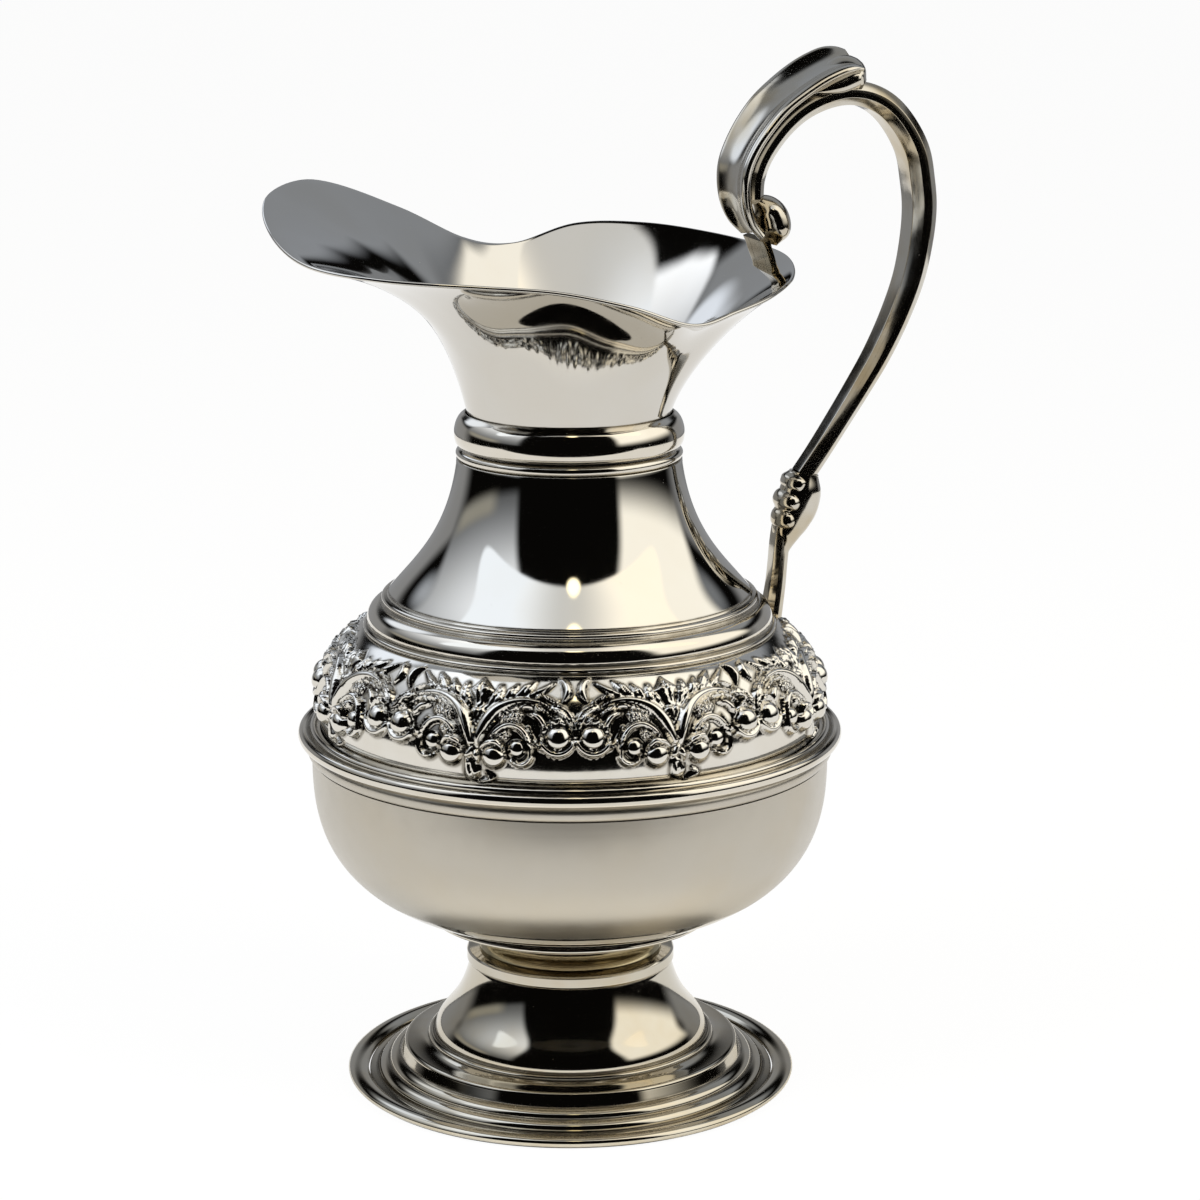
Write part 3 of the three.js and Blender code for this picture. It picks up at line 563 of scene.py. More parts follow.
@dataclass(frozen=True)
class SilverPlate:
    """Silver plate on brass or nickel silver, polished after the working that made its shape.

    It mirrors the room a little warmer than it is. The plate is painted darker and browner in hollows and at joints:
    tarnish where a cloth can't reach, and painted shade in the same places.
    """

    name: str
    colour: str = "#CBC7BF"
    tarnish_and_shade: str = "#4A3F2C"
    warm: str = "#B9A98A"
    warmth: float = 0.12
    roughness: float = 0.055
    bloom: float = 0.05
    working: Working = Working.SPUN
    ripple_mm: float = 16.0
    ripple_depth_mm: float = 0.03
    mark_mm: float = 0.8
    mark_depth_mm: float = 0.0012
    dulling: float = 0.3
    polished_below_mm: float = -10.0
    hatch_mm: float = 0.95
    hatch_depth_mm: float = 0.25
    hatch_lean: float = 38.0
    cloud_mm: float = 22.0
    patch_mm: float = 6.0
    speck_mm: float = 4.5
    polished_share: float = 0.15
    polish_fade_mm: float = 0.5

    def build(self, centre: Vector) -> bpy.types.Material:
        """Builds the finish.

        Args:
            centre: where the vessel's axis meets the table, from which the marks are measured.

        Returns:
            The material, ready for any piece of this metal.
        """
        material, tree = blank(self.name)
        place = add(tree, "ShaderNodeTexCoord")
        spot = add(tree, "ShaderNodeMapping", {"vector_type": "POINT"}, {
            "Vector": place.outputs["Object"], "Location": tuple(-value / MM for value in centre),
            "Scale": (1 / MM, 1 / MM, 1 / MM)})
        groove = add(tree, "ShaderNodeAttribute", {"attribute_name": RECESS, "attribute_type": "GEOMETRY"})

        # Slow changes of tone: handling, polish and the warm base metal that shows through thin plate
        clouds = add(tree, "ShaderNodeTexNoise", None, {
            "Vector": spot, "Scale": 1 / self.cloud_mm, "Detail": 3.0, "Roughness": 0.55})
        warmth = add(tree, "ShaderNodeMapRange", {"interpolation_type": "SMOOTHSTEP"}, {
            "Value": clouds, "From Min": 0.38, "From Max": 0.72, "To Min": 0.0, "To Max": self.warmth})
        body = add(tree, "ShaderNodeMix", {"data_type": "RGBA"}, {
            "Factor": warmth, 6: linear(self.colour), 7: linear(self.warm)})

        # Tarnish with painted shade lies in the grooves, at joints and on the low chased ground, uneven as the cloth
        # left it
        patchy = add(tree, "ShaderNodeTexNoise", None, {
            "Vector": spot, "Scale": 1 / self.patch_mm, "Detail": 2.0, "Roughness": 0.5})
        uneven = add(tree, "ShaderNodeMapRange", None, {
            "Value": patchy, "From Min": 0.3, "From Max": 0.7, "To Min": 0.75, "To Max": 1.1})
        reach = add(tree, "ShaderNodeMath", {"operation": "MULTIPLY"}, {0: groove.outputs["Fac"], 1: uneven})
        shade_and_tarnish_amount = add(tree, "ShaderNodeMapRange", {"interpolation_type": "SMOOTHSTEP"}, {
            "Value": reach, "From Min": 0.25, "From Max": 0.95, "To Min": 0.0, "To Max": 0.8})
        tone = add(tree, "ShaderNodeMix", {"data_type": "RGBA"}, {
            "Factor": shade_and_tarnish_amount, 6: body.outputs[2], 7: linear(self.tarnish_and_shade)})

        # Specks of dust and fine scuffs only roughen the mirror
        specks = add(tree, "ShaderNodeTexVoronoi", {"feature": "F1"}, {
            "Vector": spot, "Scale": 1 / self.speck_mm, "Randomness": 1.0})
        dust = add(tree, "ShaderNodeMapRange", None, {
            "Value": specks, "From Min": 0.03, "From Max": 0.05, "To Min": 0.22, "To Max": 0.0})
        scuffs = add(tree, "ShaderNodeTexNoise", None, {
            "Vector": spot, "Scale": 1 / self.patch_mm, "Detail": 5.0, "Roughness": 0.65})
        bloom = add(tree, "ShaderNodeMapRange", None, {
            "Value": scuffs, "From Min": 0.35, "From Max": 0.75,
            "To Min": self.roughness, "To Max": self.roughness + self.bloom})

        # Low down the plate was polished bright, and above that it keeps the roughness of its finish
        height = add(tree, "ShaderNodeSeparateXYZ", None, {"Vector": spot})
        satin = add(tree, "ShaderNodeMapRange", {"interpolation_type": "SMOOTHSTEP"}, {
            "Value": height.outputs["Z"], "From Min": self.polished_below_mm - self.polish_fade_mm,
            "From Max": self.polished_below_mm + self.polish_fade_mm, "To Min": self.polished_share, "To Max": 1.0})
        fine = add(tree, "ShaderNodeMath", {"operation": "MULTIPLY"}, {0: bloom, 1: satin})
        dull = add(tree, "ShaderNodeMath", {"operation": "MULTIPLY_ADD"}, {0: shade_and_tarnish_amount, 1: self.dulling, 2: fine})
        rough = add(tree, "ShaderNodeMath", {"operation": "ADD", "use_clamp": True}, {0: dull, 1: dust})
        shader = add(tree, "ShaderNodeBsdfPrincipled", None, {
            "Metallic": 1.0, "Base Color": tone.outputs[2], "Roughness": rough, "Normal": self.surface(tree, spot)})
        add(tree, "ShaderNodeOutputMaterial", None, {"Surface": shader})
        return material

    def surface(self, tree: bpy.types.NodeTree, spot: Feed) -> bpy.types.Node:
        """Adds the bumps that the working left.

        Args:
            tree: the material's node tree.
            spot: the place on the piece in millimetres.

        Returns:
            The node that gives the shader its normal.
        """
        ripple = add(tree, "ShaderNodeTexNoise", None, {
            "Vector": spot, "Scale": 1 / self.ripple_mm, "Detail": 2.0, "Roughness": 0.4})
        wave = add(tree, "ShaderNodeBump", None, {
            "Strength": 1.0, "Distance": self.ripple_depth_mm * MM, "Height": ripple})
        # A lathe draws the marks out round the axis
        stretch = (0.12, 0.12, 1.0) if self.working is Working.SPUN else (1.0, 1.0, 1.0)
        lay = add(tree, "ShaderNodeMapping", {"vector_type": "POINT"}, {"Vector": spot, "Scale": stretch})
        marks = add(tree, "ShaderNodeTexNoise", None, {
            "Vector": lay, "Scale": 1 / self.mark_mm, "Detail": 3.0, "Roughness": 0.5})
        fine = add(tree, "ShaderNodeBump", None, {
            "Strength": 1.0, "Distance": self.mark_depth_mm * MM, "Height": marks, "Normal": wave})
        if self.working is not Working.CHASED:
            return fine
        unrolled, hatch = (
            add(tree, "ShaderNodeAttribute", {"attribute_name": name, "attribute_type": "GEOMETRY"})
            for name in (UNROLLED, HATCH))
        cuts = []
        for lean in (self.hatch_lean, -self.hatch_lean):
            turned = add(tree, "ShaderNodeMapping", {"vector_type": "POINT"}, {
                "Vector": unrolled.outputs["Vector"], "Rotation": (0.0, 0.0, math.radians(lean))})
            cuts.append(add(tree, "ShaderNodeTexWave", {"wave_type": "BANDS", "bands_direction": "X"}, {
                "Vector": turned, "Scale": math.pi / 10 / self.hatch_mm, "Distortion": 0.0}).outputs["Fac"])
        crossed = add(tree, "ShaderNodeMath", {"operation": "MULTIPLY"}, {0: cuts[0], 1: cuts[1]})
        kept = add(tree, "ShaderNodeMath", {"operation": "MULTIPLY"}, {0: crossed, 1: hatch.outputs["Fac"]})
        return add(tree, "ShaderNodeBump", None, {
            "Strength": 1.0, "Distance": self.hatch_depth_mm * MM, "Height": kept, "Normal": fine})


@dataclass(frozen=True)
class Finishes:
    """The finishes of the carafe, one for each way that its parts were worked."""

    centre: Vector

    def build(self) -> dict[str, bpy.types.Material]:
        """Builds every finish.

        Returns:
            The materials by the part of the carafe that they dress.
        """
        plates = {
            "foot": SilverPlate("spun_silver_plate_foot", colour="#C4BEB0", warmth=0.45, roughness=0.05,
                                ripple_depth_mm=0.015),
            "stem": SilverPlate("turned_silver_plate_stem", colour="#B5A988", warmth=0.7, roughness=0.14),
            "bowl": SilverPlate("satin_silver_plate_bowl", colour="#BDB7AB", warmth=0.15, roughness=0.3, bloom=0.06,
                                ripple_depth_mm=0.01, mark_mm=0.7, mark_depth_mm=0.004, polished_below_mm=59.5),
            "moulding": SilverPlate("drawn_silver_plate_wire", colour="#D6D0C4", tarnish_and_shade="#7A715F", warmth=0.2,
                                    roughness=0.07, ripple_depth_mm=0.01),
            "band": SilverPlate("chased_silver_plate_band", colour="#DAD6CD", tarnish_and_shade="#6E675A", warmth=0.15,
                                roughness=0.08, dulling=0.06, working=Working.CHASED, ripple_mm=6.0),
            "neck": SilverPlate("mirror_silver_plate_neck", colour="#D0CCC3", warmth=0.06, roughness=0.035,
                                bloom=0.03, ripple_depth_mm=0.012),
            "mouth": SilverPlate("raised_silver_plate_mouth", warmth=0.08, roughness=0.035, bloom=0.035,
                                 working=Working.RAISED, ripple_mm=20.0),
            "handle": SilverPlate("cast_silver_plate_handle", colour="#C8C3B8", warm="#A9925F", warmth=0.6,
                                  roughness=0.1, working=Working.CAST, ripple_mm=7.0, ripple_depth_mm=0.04,
                                  mark_depth_mm=0.0004),
            "strap": SilverPlate("cast_silver_plate_strap", colour="#B8AB8C", warm="#9C8252", warmth=0.6,
                                 roughness=0.12, working=Working.CAST, ripple_mm=5.0),
        }
        return {part: plate.build(self.centre) for part, plate in plates.items()}


def settle(piece: bpy.types.Object, material: bpy.types.Material, slot: str, *nodes: str) -> bpy.types.Object:
    """Dresses a finished piece and hands it to the frame.

    Args:
        piece: the object.
        material: its finish.
        slot: the record's material slot; not used.
        nodes: the CAD nodes that it stands for.

    Returns:
        The piece.
    """
    piece.data.materials.clear()
    piece.data.materials.append(material)
    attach(piece, BODY)
    if nodes:
        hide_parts(*nodes)
    log.info("%s: %d faces", piece.name, len(piece.data.polygons))
    return piece


# Foot


@dataclass
class Foot:
    """The spun foot: a rolled rim, a stepped flange that rises into a bell, and a plain ring on top."""

    wall: float = 1.2
    rim_radius: float = 65.9
    rim_bore: float = 59.95
    rim_height: float = 3.2
    neck_radius: float = 29.6
    top: float = 34.5
    ring_radius: float = 30.5
    ring_bore: float = 22.0
    ring_height: float = 3.8
    stem_radius: float = 26.8
    stem_height: float = 8.9
    polish: float = 0.35

    def rim(self) -> Line:
        """Returns the outline of the rolled rim, flat where it stands on the table."""
        inner, outer, height = self.rim_bore, self.rim_radius, self.rim_height
        wire = arc((outer - 2.9, 1.55), (2.9, 1.65), -60, 150, 28)
        return [(inner + 0.7, 0.0), (outer - 1.4, 0.0), *wire, (inner, height * 0.62), (inner, 0.7)]

    def flange(self) -> Line:
        """Returns the outer face of the stepped flange and the bell, from the rim inwards."""
        return [
            (59.6, 1.3), (57.1, 1.4),
            *arc((54.0, 1.9), (2.9, 2.2), 0, 90, 10),
            (53.85, 4.15),
            *arc((50.75, 4.2), (2.95, 2.1), 0, 88, 12),
            (50.4, 6.5), (49.3, 9.2), *arc((48.2, 9.3), (1.05, 0.9), 0, 90, 6),
            *bezier((47.9, 10.2), (46.0, 10.25), (43.4, 10.3), (42.6, 11.0), 8),
            *arc((41.2, 11.75), (0.95, 0.8), -40, 130, 8),
            (40.15, 12.7),
            *bezier((40.2, 13.4), (39.4, 19.6), (32.9, 19.6), (self.neck_radius, self.top), 44),
        ]

    def ring(self) -> Line:
        """Returns the outline of the plain ring on top of the bell."""
        low, high = self.top, self.top + self.ring_height
        return eased([
            (self.ring_bore, low), (self.ring_radius - 0.5, low), (self.ring_radius, low + 0.6),
            (self.ring_radius, high - 0.6), (self.ring_radius - 0.5, high), (self.ring_bore, high)], self.polish)

    def stem(self) -> Line:
        """Returns the outline of the waisted boss between foot and bowl."""
        low = self.top + self.ring_height
        high = low + self.stem_height
        return [
            (0.0, low), (self.stem_radius - 0.7, low), (self.stem_radius, low + 0.8),
            *bezier((26.3, low + 1.8), (23.4, low + 3.6), (23.4, low + 6.2), (25.6, high - 0.6), 14),
            (25.8, high), (0.0, high)]

    def build(self, bench: Bench, finish: dict[str, bpy.types.Material]) -> None:
        """Builds and dresses the pieces of the foot.

        Args:
            bench: where meshes are made.
            finish: the finishes by part.
        """
        rim = bench.turned("foot_rim_wire", self.rim(), seams=[(self.rim_bore, 2.4)], spacing=1.2)
        settle(rim, finish["foot"], "foot_plate", "foot_rim")
        bell = bench.turned("foot_spun_bell", eased(sheet(self.flange(), self.wall), self.polish),
                            seams=[(59.6, 1.3), (self.neck_radius, self.top)])
        settle(bell, finish["foot"], "foot_plate", "foot_bell")
        ring = bench.turned("foot_plain_ring", self.ring(),
                            seams=[(self.ring_radius - 1.5, self.top + self.ring_height)])
        settle(ring, finish["foot"], "foot_plate", "foot_top_ring")
        stem = bench.turned("foot_stem", self.stem(), seams=[(self.stem_radius, self.top + self.ring_height)])
        settle(stem, finish["stem"], "foot_plate", "stem_boss")


# Bowl


@dataclass
class Bowl:
    """The full bowl with its reeded ring below, and the girdle mouldings above."""

    wall: float = 1.2
    base: float = 47.2
    top: float = 98.2
    radius: float = 74.9
    fullness: float = 2.72
    collar_radius: float = 72.2
    collar_top: float = 104.0
    score_height: float = 94.8
    score_depth: float = 0.01
    score_reach: float = 0.4
    steps: int = 160
    rows: int = 220
    weld: float = 0.005
    crisp: float = 38.0

    def tree(self) -> bpy.types.NodeTree:
        """Builds the tree that shapes the bowl: a superellipse turned round the axis, with an inner face.

        The grid runs round the bowl one way, and from the outer pole over the edge to the inner pole the other way.

        Returns:
            The tree, with the bowl's sizes and its finish as named inputs.
        """
        tree, given = nodes_for("superellipse_bowl", (
            ("Radius", "Float"), ("Depth", "Float"), ("Top", "Float"), ("Wall", "Float"), ("Power", "Float"),
            ("Score Height", "Float"), ("Score Depth", "Float"), ("Axis", "Vector"), ("Steps", "Int"),
            ("Rows", "Int"), ("Weld", "Float"), ("Finish", "Material")))

        def work(operation: str, *values: Any) -> bpy.types.Node:
            """Adds one sum to the tree."""
            return add(tree, "ShaderNodeMath", {"operation": operation}, dict(enumerate(values)))

        grid = add(tree, "GeometryNodeMeshGrid", None, {
            "Size X": 1.0, "Size Y": 1.0, "Vertices X": given["Steps"], "Vertices Y": given["Rows"]})
        spot = add(tree, "ShaderNodeSeparateXYZ", None, {"Vector": add(tree, "GeometryNodeInputPosition")}).outputs
        turn = work("MULTIPLY", spot["X"], 2 * math.pi)
        inner = work("GREATER_THAN", spot["Y"], 0.0)
        share = work("SUBTRACT", 1.0, work("MULTIPLY", work("ABSOLUTE", spot["Y"]), 2.0))
        share = work("SUBTRACT", 1.0, work("MINIMUM", work("MAXIMUM", share, 0.0), 1.0))
        # A power of the share keeps the rows even where the superellipse turns fast
        angle = work("MULTIPLY", work("POWER", share, work("DIVIDE", 1.0, given["Power"])), math.pi / 2)
        sheet_in = work("MULTIPLY", inner, given["Wall"])
        wide = work("SUBTRACT", given["Radius"], sheet_in)
        deep = work("SUBTRACT", given["Depth"], sheet_in)
        out = work("MULTIPLY", wide, work("POWER", work("MAXIMUM", work("COSINE", angle), 0.0), given["Power"]))
        drop = work("MULTIPLY", deep, work("POWER", work("MAXIMUM", work("SINE", angle), 0.0), given["Power"]))
        level = work("SUBTRACT", given["Top"], drop)
        # The fine line that was scored on the lathe, only on the outer face
        off = work("ABSOLUTE", work("SUBTRACT", level, given["Score Height"]))
        cut = work("MAXIMUM", work("SUBTRACT", 1.0, work("DIVIDE", off, self.score_reach * MM)), 0.0)
        cut = work("MULTIPLY", work("MULTIPLY", cut, given["Score Depth"]), work("SUBTRACT", 1.0, inner))
        out = work("SUBTRACT", out, cut)
        place = add(tree, "ShaderNodeCombineXYZ", None, {
            "X": work("MULTIPLY", out, work("COSINE", turn)), "Y": work("MULTIPLY", out, work("SINE", turn)),
            "Z": level})
        moved = add(tree, "ShaderNodeVectorMath", {"operation": "ADD"}, {0: place, 1: given["Axis"]})
        bowl = add(tree, "GeometryNodeSetPosition", None, {"Geometry": grid, "Position": moved})
        return end_tree(tree, bowl, given["Weld"], given["Finish"])

    def collar(self) -> Line:
        """Returns the outline of the bowl's upright collar, which the mouldings and the band sit on."""
        inner = self.collar_radius - self.wall
        return [(inner, self.top - 1.0), (self.radius - self.wall - 0.4, self.top - 1.0),
                (self.radius - self.wall - 0.4, self.top), (self.collar_radius, self.top),
                (self.collar_radius, self.collar_top), (inner, self.collar_top)]

    def reeds(self) -> Line:
        """Returns the outline of the reeded ring that is soldered under the bowl."""
        power = 2 / self.fullness
        under = []
        for radius in (41.6, 39.6, 37.5, 35.0, 32.5, 30.0, 28.2):
            share = min((radius / self.radius) ** (1 / power), 1.0)
            under.append((radius, self.top - (self.top - self.base) * math.sin(math.acos(share)) ** power - 0.35))
        lobes = [
            *arc((28.9, 46.9), (0.85, 0.65), -170, -10, 6),
            *arc((31.2, 47.0), (1.35, 0.75), -170, -5, 8),
            *arc((34.0, 47.6), (1.35, 0.8), -165, 0, 8),
            *arc((37.0, 48.5), (1.6, 0.95), -160, 5, 10),
            *arc((40.2, 49.9), (1.9, 1.0), -160, 25, 10),
        ]
        return [*lobes, *under]

    def moulding(self) -> Line:
        """Returns the outline of the soft moulding on the bowl's edge."""
        bore = self.collar_radius + 0.3
        return [
            (bore, self.top), (self.radius - 0.2, self.top),
            *bezier((75.1, self.top + 0.1), (76.4, 99.0), (76.9, 101.2), (75.6, 102.3), 12),
            (75.3, 102.6), (bore, 102.6)]

    def girdle(self) -> Line:
        """Returns the outline of the projecting girdle with the fine bead inside it."""
        bore = self.collar_radius + 0.3
        return [
            (bore, 102.6), (76.6, 102.6), *bezier((77.4, 102.75), (79.2, 103.1), (79.2, 105.4), (78.1, 106.1), 14),
            (77.5, 106.2), (76.7, 105.75), (75.5, 105.7), *arc((74.5, 106.35), (0.95, 1.0), 0, 170, 10),
            (bore, 106.3)]

    def build(self, bench: Bench, finish: dict[str, bpy.types.Material]) -> None:
        """Builds and dresses the bowl and its mouldings.

        Args:
            bench: where meshes are made.
            finish: the finishes by part.
        """
        blank = bench.mesh("bowl_satin_shell", [bench.place(0, 0, self.base)], [])
        shell = grow(blank, self.tree(), {
            "Radius": self.radius * MM, "Depth": (self.top - self.base) * MM, "Top": self.top * MM,
            "Wall": self.wall * MM, "Power": 2 / self.fullness, "Score Height": self.score_height * MM,
            "Score Depth": self.score_depth * MM, "Axis": tuple(bench.axis), "Steps": self.steps + 1,
            "Rows": self.rows, "Weld": self.weld * MM, "Finish": finish["bowl"]}, self.crisp)
        settle(shell, finish["bowl"], "bowl_plate", "bowl")
        collar = bench.turned("bowl_upright_collar", self.collar())
        settle(collar, finish["bowl"], "bowl_plate")
        reeds = bench.turned("bowl_reeds", self.reeds(), spacing=1.0, seams=[(42.1, 51.0), (28.0, 46.6)])
        settle(reeds, finish["moulding"], "bowl_plate", "bowl_reed_ring")
        moulding = bench.turned("girdle_soft_moulding", self.moulding(), spacing=0.8, seams=[(75.4, 102.6)])
        settle(moulding, finish["bowl"], "bowl_plate", "girdle_moulding")
        girdle = bench.turned("girdle_wire", self.girdle(), spacing=0.8, seams=[(76.6, 102.6), (73.6, 106.6)])
        settle(girdle, finish["moulding"], "moulding_plate", "girdle_bead")


# Frieze


class Mark(Enum):
    """What the chasing tool cut into a blade."""

    PLAIN = "plain"
    EDGED = "edged"
    VEINED = "veined"
    RIBBED = "ribbed"


@dataclass(frozen=True)
class Ridge:
    """One chased blade: a half-round ridge along a line on the unrolled band."""

    line: tuple[Point, ...]
    widths: tuple[float, ...]
    height: float
    mark: Mark = Mark.PLAIN
    mirrored: bool = True
    cuts: int = 26
    groove: float = 0.72
    fullness: float = 1.22
    rib_mm: float = 1.7
    rib_depth: float = 0.22
    rib_slant: float = 0.9
    edge_depth: float = 0.3
    edge_width: float = 0.14
    vein_depth: float = 0.4
    vein_width: float = 0.3
    taper: float = 0.6
    shadow: float = 1.5

    def span(self) -> Point:
        """Returns how far the blade and its shadow reach to each side, in millimetres round the band."""
        reach = max(self.widths) + self.shadow
        return min(p[0] for p in self.line) - reach, max(p[0] for p in self.line) + reach

    def shape(self, around: np.ndarray, up: np.ndarray) -> tuple[np.ndarray, np.ndarray, np.ndarray]:
        """Finds the blade's form over the band.

        Args:
            around: millimetres from the pendant's line, for each point of the band.
            up: millimetres up the face, for each point of the band.

        Returns:
            The height of the blade, how far each point lies outside it, and how much it is hatched.
        """
        path = np.array(smooth(list(self.line), self.cuts))
        start, step = path[:-1], np.diff(path, axis=0)
        gap_a = around[..., None] - start[:, 0]
        gap_s = up[..., None] - start[:, 1]
        square = (step**2).sum(axis=1)
        share = np.clip((gap_a * step[:, 0] + gap_s * step[:, 1]) / square, 0, 1)
        distances = np.hypot(gap_a - share * step[:, 0], gap_s - share * step[:, 1])
        best = distances.argmin(axis=-1)
        away = np.take_along_axis(distances, best[..., None], -1)[..., 0]
        place = (best + np.take_along_axis(share, best[..., None], -1)[..., 0]) / self.cuts
        half = np.interp(place, np.linspace(0, 1, len(self.widths)), self.widths) * self.fullness
        ratio = away / half
        raised = self.height * (half / max(self.widths)) ** self.taper * np.sqrt(np.clip(1 - ratio**2, 0, 1))
        if self.mark is Mark.EDGED:
            raised *= 1 - self.edge_depth * np.exp(-(((ratio - self.groove) / self.edge_width) ** 2))
        if self.mark in (Mark.VEINED, Mark.RIBBED):
            raised *= 1 - self.vein_depth * np.exp(-((away / self.vein_width) ** 2))
        if self.mark is Mark.RIBBED:
            length = float(np.sqrt(square).sum())
            wave = np.cos(2 * np.pi * (place * length - self.rib_slant * away) / self.rib_mm)
            raised *= 1 - self.rib_depth * (0.5 + 0.5 * wave)
        return raised, np.clip(away - half, 0, None), np.zeros_like(raised)


@dataclass(frozen=True)
class Dome:
    """One raised oval of the acorns: a hatched cup or a smooth nut."""

    centre: Point
    reach: Point
    height: float
    turn: float = 0.0
    hatched: float = 0.0
    mirrored: bool = True
    shadow: float = 1.5

    def span(self) -> Point:
        """Returns how far the oval and its shadow reach to each side, in millimetres round the band."""
        reach = max(self.reach) + self.shadow
        return self.centre[0] - reach, self.centre[0] + reach

    def shape(self, around: np.ndarray, up: np.ndarray) -> tuple[np.ndarray, np.ndarray, np.ndarray]:
        """Finds the oval's form over the band.

        Args:
            around: millimetres from the pendant's line, for each point of the band.
            up: millimetres up the face, for each point of the band.

        Returns:
            The height of the oval, how far each point lies outside it, and how much it is hatched.
        """
        angle = math.radians(self.turn)
        a, s = around - self.centre[0], up - self.centre[1]
        long = a * math.cos(angle) + s * math.sin(angle)
        short = s * math.cos(angle) - a * math.sin(angle)
        ratio = np.hypot(long / self.reach[0], short / self.reach[1])
        raised = self.height * np.sqrt(np.clip(1 - ratio**2, 0, 1))
        return raised, np.clip(ratio - 1, 0, None) * min(self.reach), np.where(ratio < 1, self.hatched, 0.0)


@dataclass
class Frieze:
    """The raised frieze of oak leaves, acorns and scrolls: one repeat is drawn, and eight stand round the band."""

    repeats: int = 8
    pendant_turn: float = -84.3
    scale_radius: float = 72.0
    low: float = 2.5
    high: float = 34.5
    columns: int = 120
    rows: int = 72
    undercut: float = 0.45
    halo: float = 0.35
    ground_height: float = 0.9
    ground_reach: float = 1.3
    far: float = 9.0
    fade_low: float = 1.0
    fade_high: float = 0.6
    weld: float = 0.01
    crisp: float = 60.0
    forms: tuple[Ridge | Dome, ...] = (
        Ridge(((0, 20.6), (0.4, 23.0), (0.6, 25.8)), (0.8, 2.2, 1.0), 1.5, Mark.VEINED, False),
        Ridge(((3.0, 24.6), (5.2, 27.6), (5.6, 30.8)), (0.8, 2.2, 0.8), 1.6, Mark.RIBBED),
        Ridge(((0, 25.6), (-0.3, 29), (-0.6, 33)), (1.2, 3.3, 0.3), 1.9, Mark.RIBBED, False),
        Ridge(((8.0, 26.6), (9.2, 28.6), (10.6, 31.8)), (1.0, 1.6, 0.3), 1.6, Mark.VEINED),
        Ridge(((11.4, 27.8), (13.4, 29.8), (16.4, 33.2)), (1.0, 1.5, 0.25), 1.6, Mark.VEINED),
        Ridge(((13.8, 28.0), (17.8, 29.8), (22.0, 32.8)), (0.5, 0.9, 0.3), 1.3),
        Ridge(((25.0, 27.4), (26.2, 30.0), (25.4, 32.4), (23.6, 34.0)), (0.4, 1.1, 1.0, 0.3), 1.5),
        Ridge(((17, 28.4), (20.0, 28.2), (22.8, 26.8)), (0.4, 0.5, 0.3), 1.2),
        Dome((7.6, 17.2), (3.1, 1.9), 2.2, 25, 1.0),
        Dome((10.4, 22.2), (3.6, 2.1), 1.9, 18, 1.0),
        Ridge(((7.4, 22.4), (11.0, 24.6), (15.2, 25.1), (19.2, 24.4), (22.2, 22.2)),
              (0.3, 0.6, 0.6, 0.55, 0.2), 1.9),
        Ridge(((15.2, 23.4), (17.6, 22.8), (19.4, 20.8), (19.5, 18.4)), (0.3, 0.8, 0.8, 0.2), 1.6),
        Ridge(((15.2, 19.6), (16.6, 16.6), (18.4, 14.4), (20.4, 13.2)), (0.35, 0.5, 0.5, 0.25), 1.5),
        Ridge(((19.6, 18.6), (21.6, 20.3), (24.2, 21.6), (25.6, 19.6)), (0.3, 0.9, 1.0, 0.3), 2.2, Mark.VEINED),
        Dome((12.4, 13.9), (2.4, 2.4), 1.7),
        Ridge(((4.6, 15.6), (6.4, 18.1), (9.4, 19.9), (12.6, 19.6), (14.9, 17.5), (16.1, 14.6), (16.3, 12.0),
               (14.8, 10.1), (12.6, 9.9), (10.9, 10.8)),
              (0.5, 0.75, 0.85, 0.85, 0.8, 0.75, 0.75, 0.8, 0.8, 0.4), 1.9, Mark.EDGED),
        Dome((6.2, 11.6), (3.5, 3.5), 3.0),
        Dome((23.6, 16.9), (3.6, 3.6), 3.1),
        Ridge(((18.9, 17.4), (19.4, 15.0), (21.6, 13.1), (24.4, 12.8), (26.8, 14.2), (28.2, 16.8)),
              (0.3, 0.7, 0.85, 0.85, 0.7, 0.4), 1.7),
        Ridge(((20.8, 25.0), (23.5, 24.9), (26.0, 23.0), (27.6, 20.2), (28.2, 17.4)),
              (0.5, 1.1, 1.2, 1.0, 0.6), 2.0, Mark.VEINED),
        Ridge(((0.5, 14.2), (1.6, 17.2), (3.3, 20.8), (5.6, 23.8), (9.0, 25.9), (13.2, 26.9), (17.5, 26.6),
               (20.6, 25.6)), (1.0, 1.5, 1.75, 1.6, 1.3, 1.0, 0.8, 0.4), 2.2, Mark.EDGED),
        Ridge(((2.6, 13.4), (4.4, 15.0), (7.0, 15.4), (8.8, 13.6)), (0.4, 0.8, 0.9, 0.4), 2.9),
        Ridge(((0, 13.2), (1.3, 11.2), (1.6, 9.4)), (0.7, 1.0, 0.3), 1.6),
        Ridge(((-0.6, 9.0), (0.2, 6.2), (1.6, 3.9)), (1.4, 2.0, 0.2), 1.3, Mark.VEINED, False),
        Ridge(((1.8, 3.9), (4.2, 4.8), (5.6, 5.4), (4.2, 6.8)), (0.3, 0.6, 0.7, 0.3), 1.2, Mark.PLAIN, False),
    )

    def pitch(self) -> float:
        """Returns how wide one repeat is, in millimetres round the unrolled band."""
        return 2 * math.pi * self.scale_radius / self.repeats

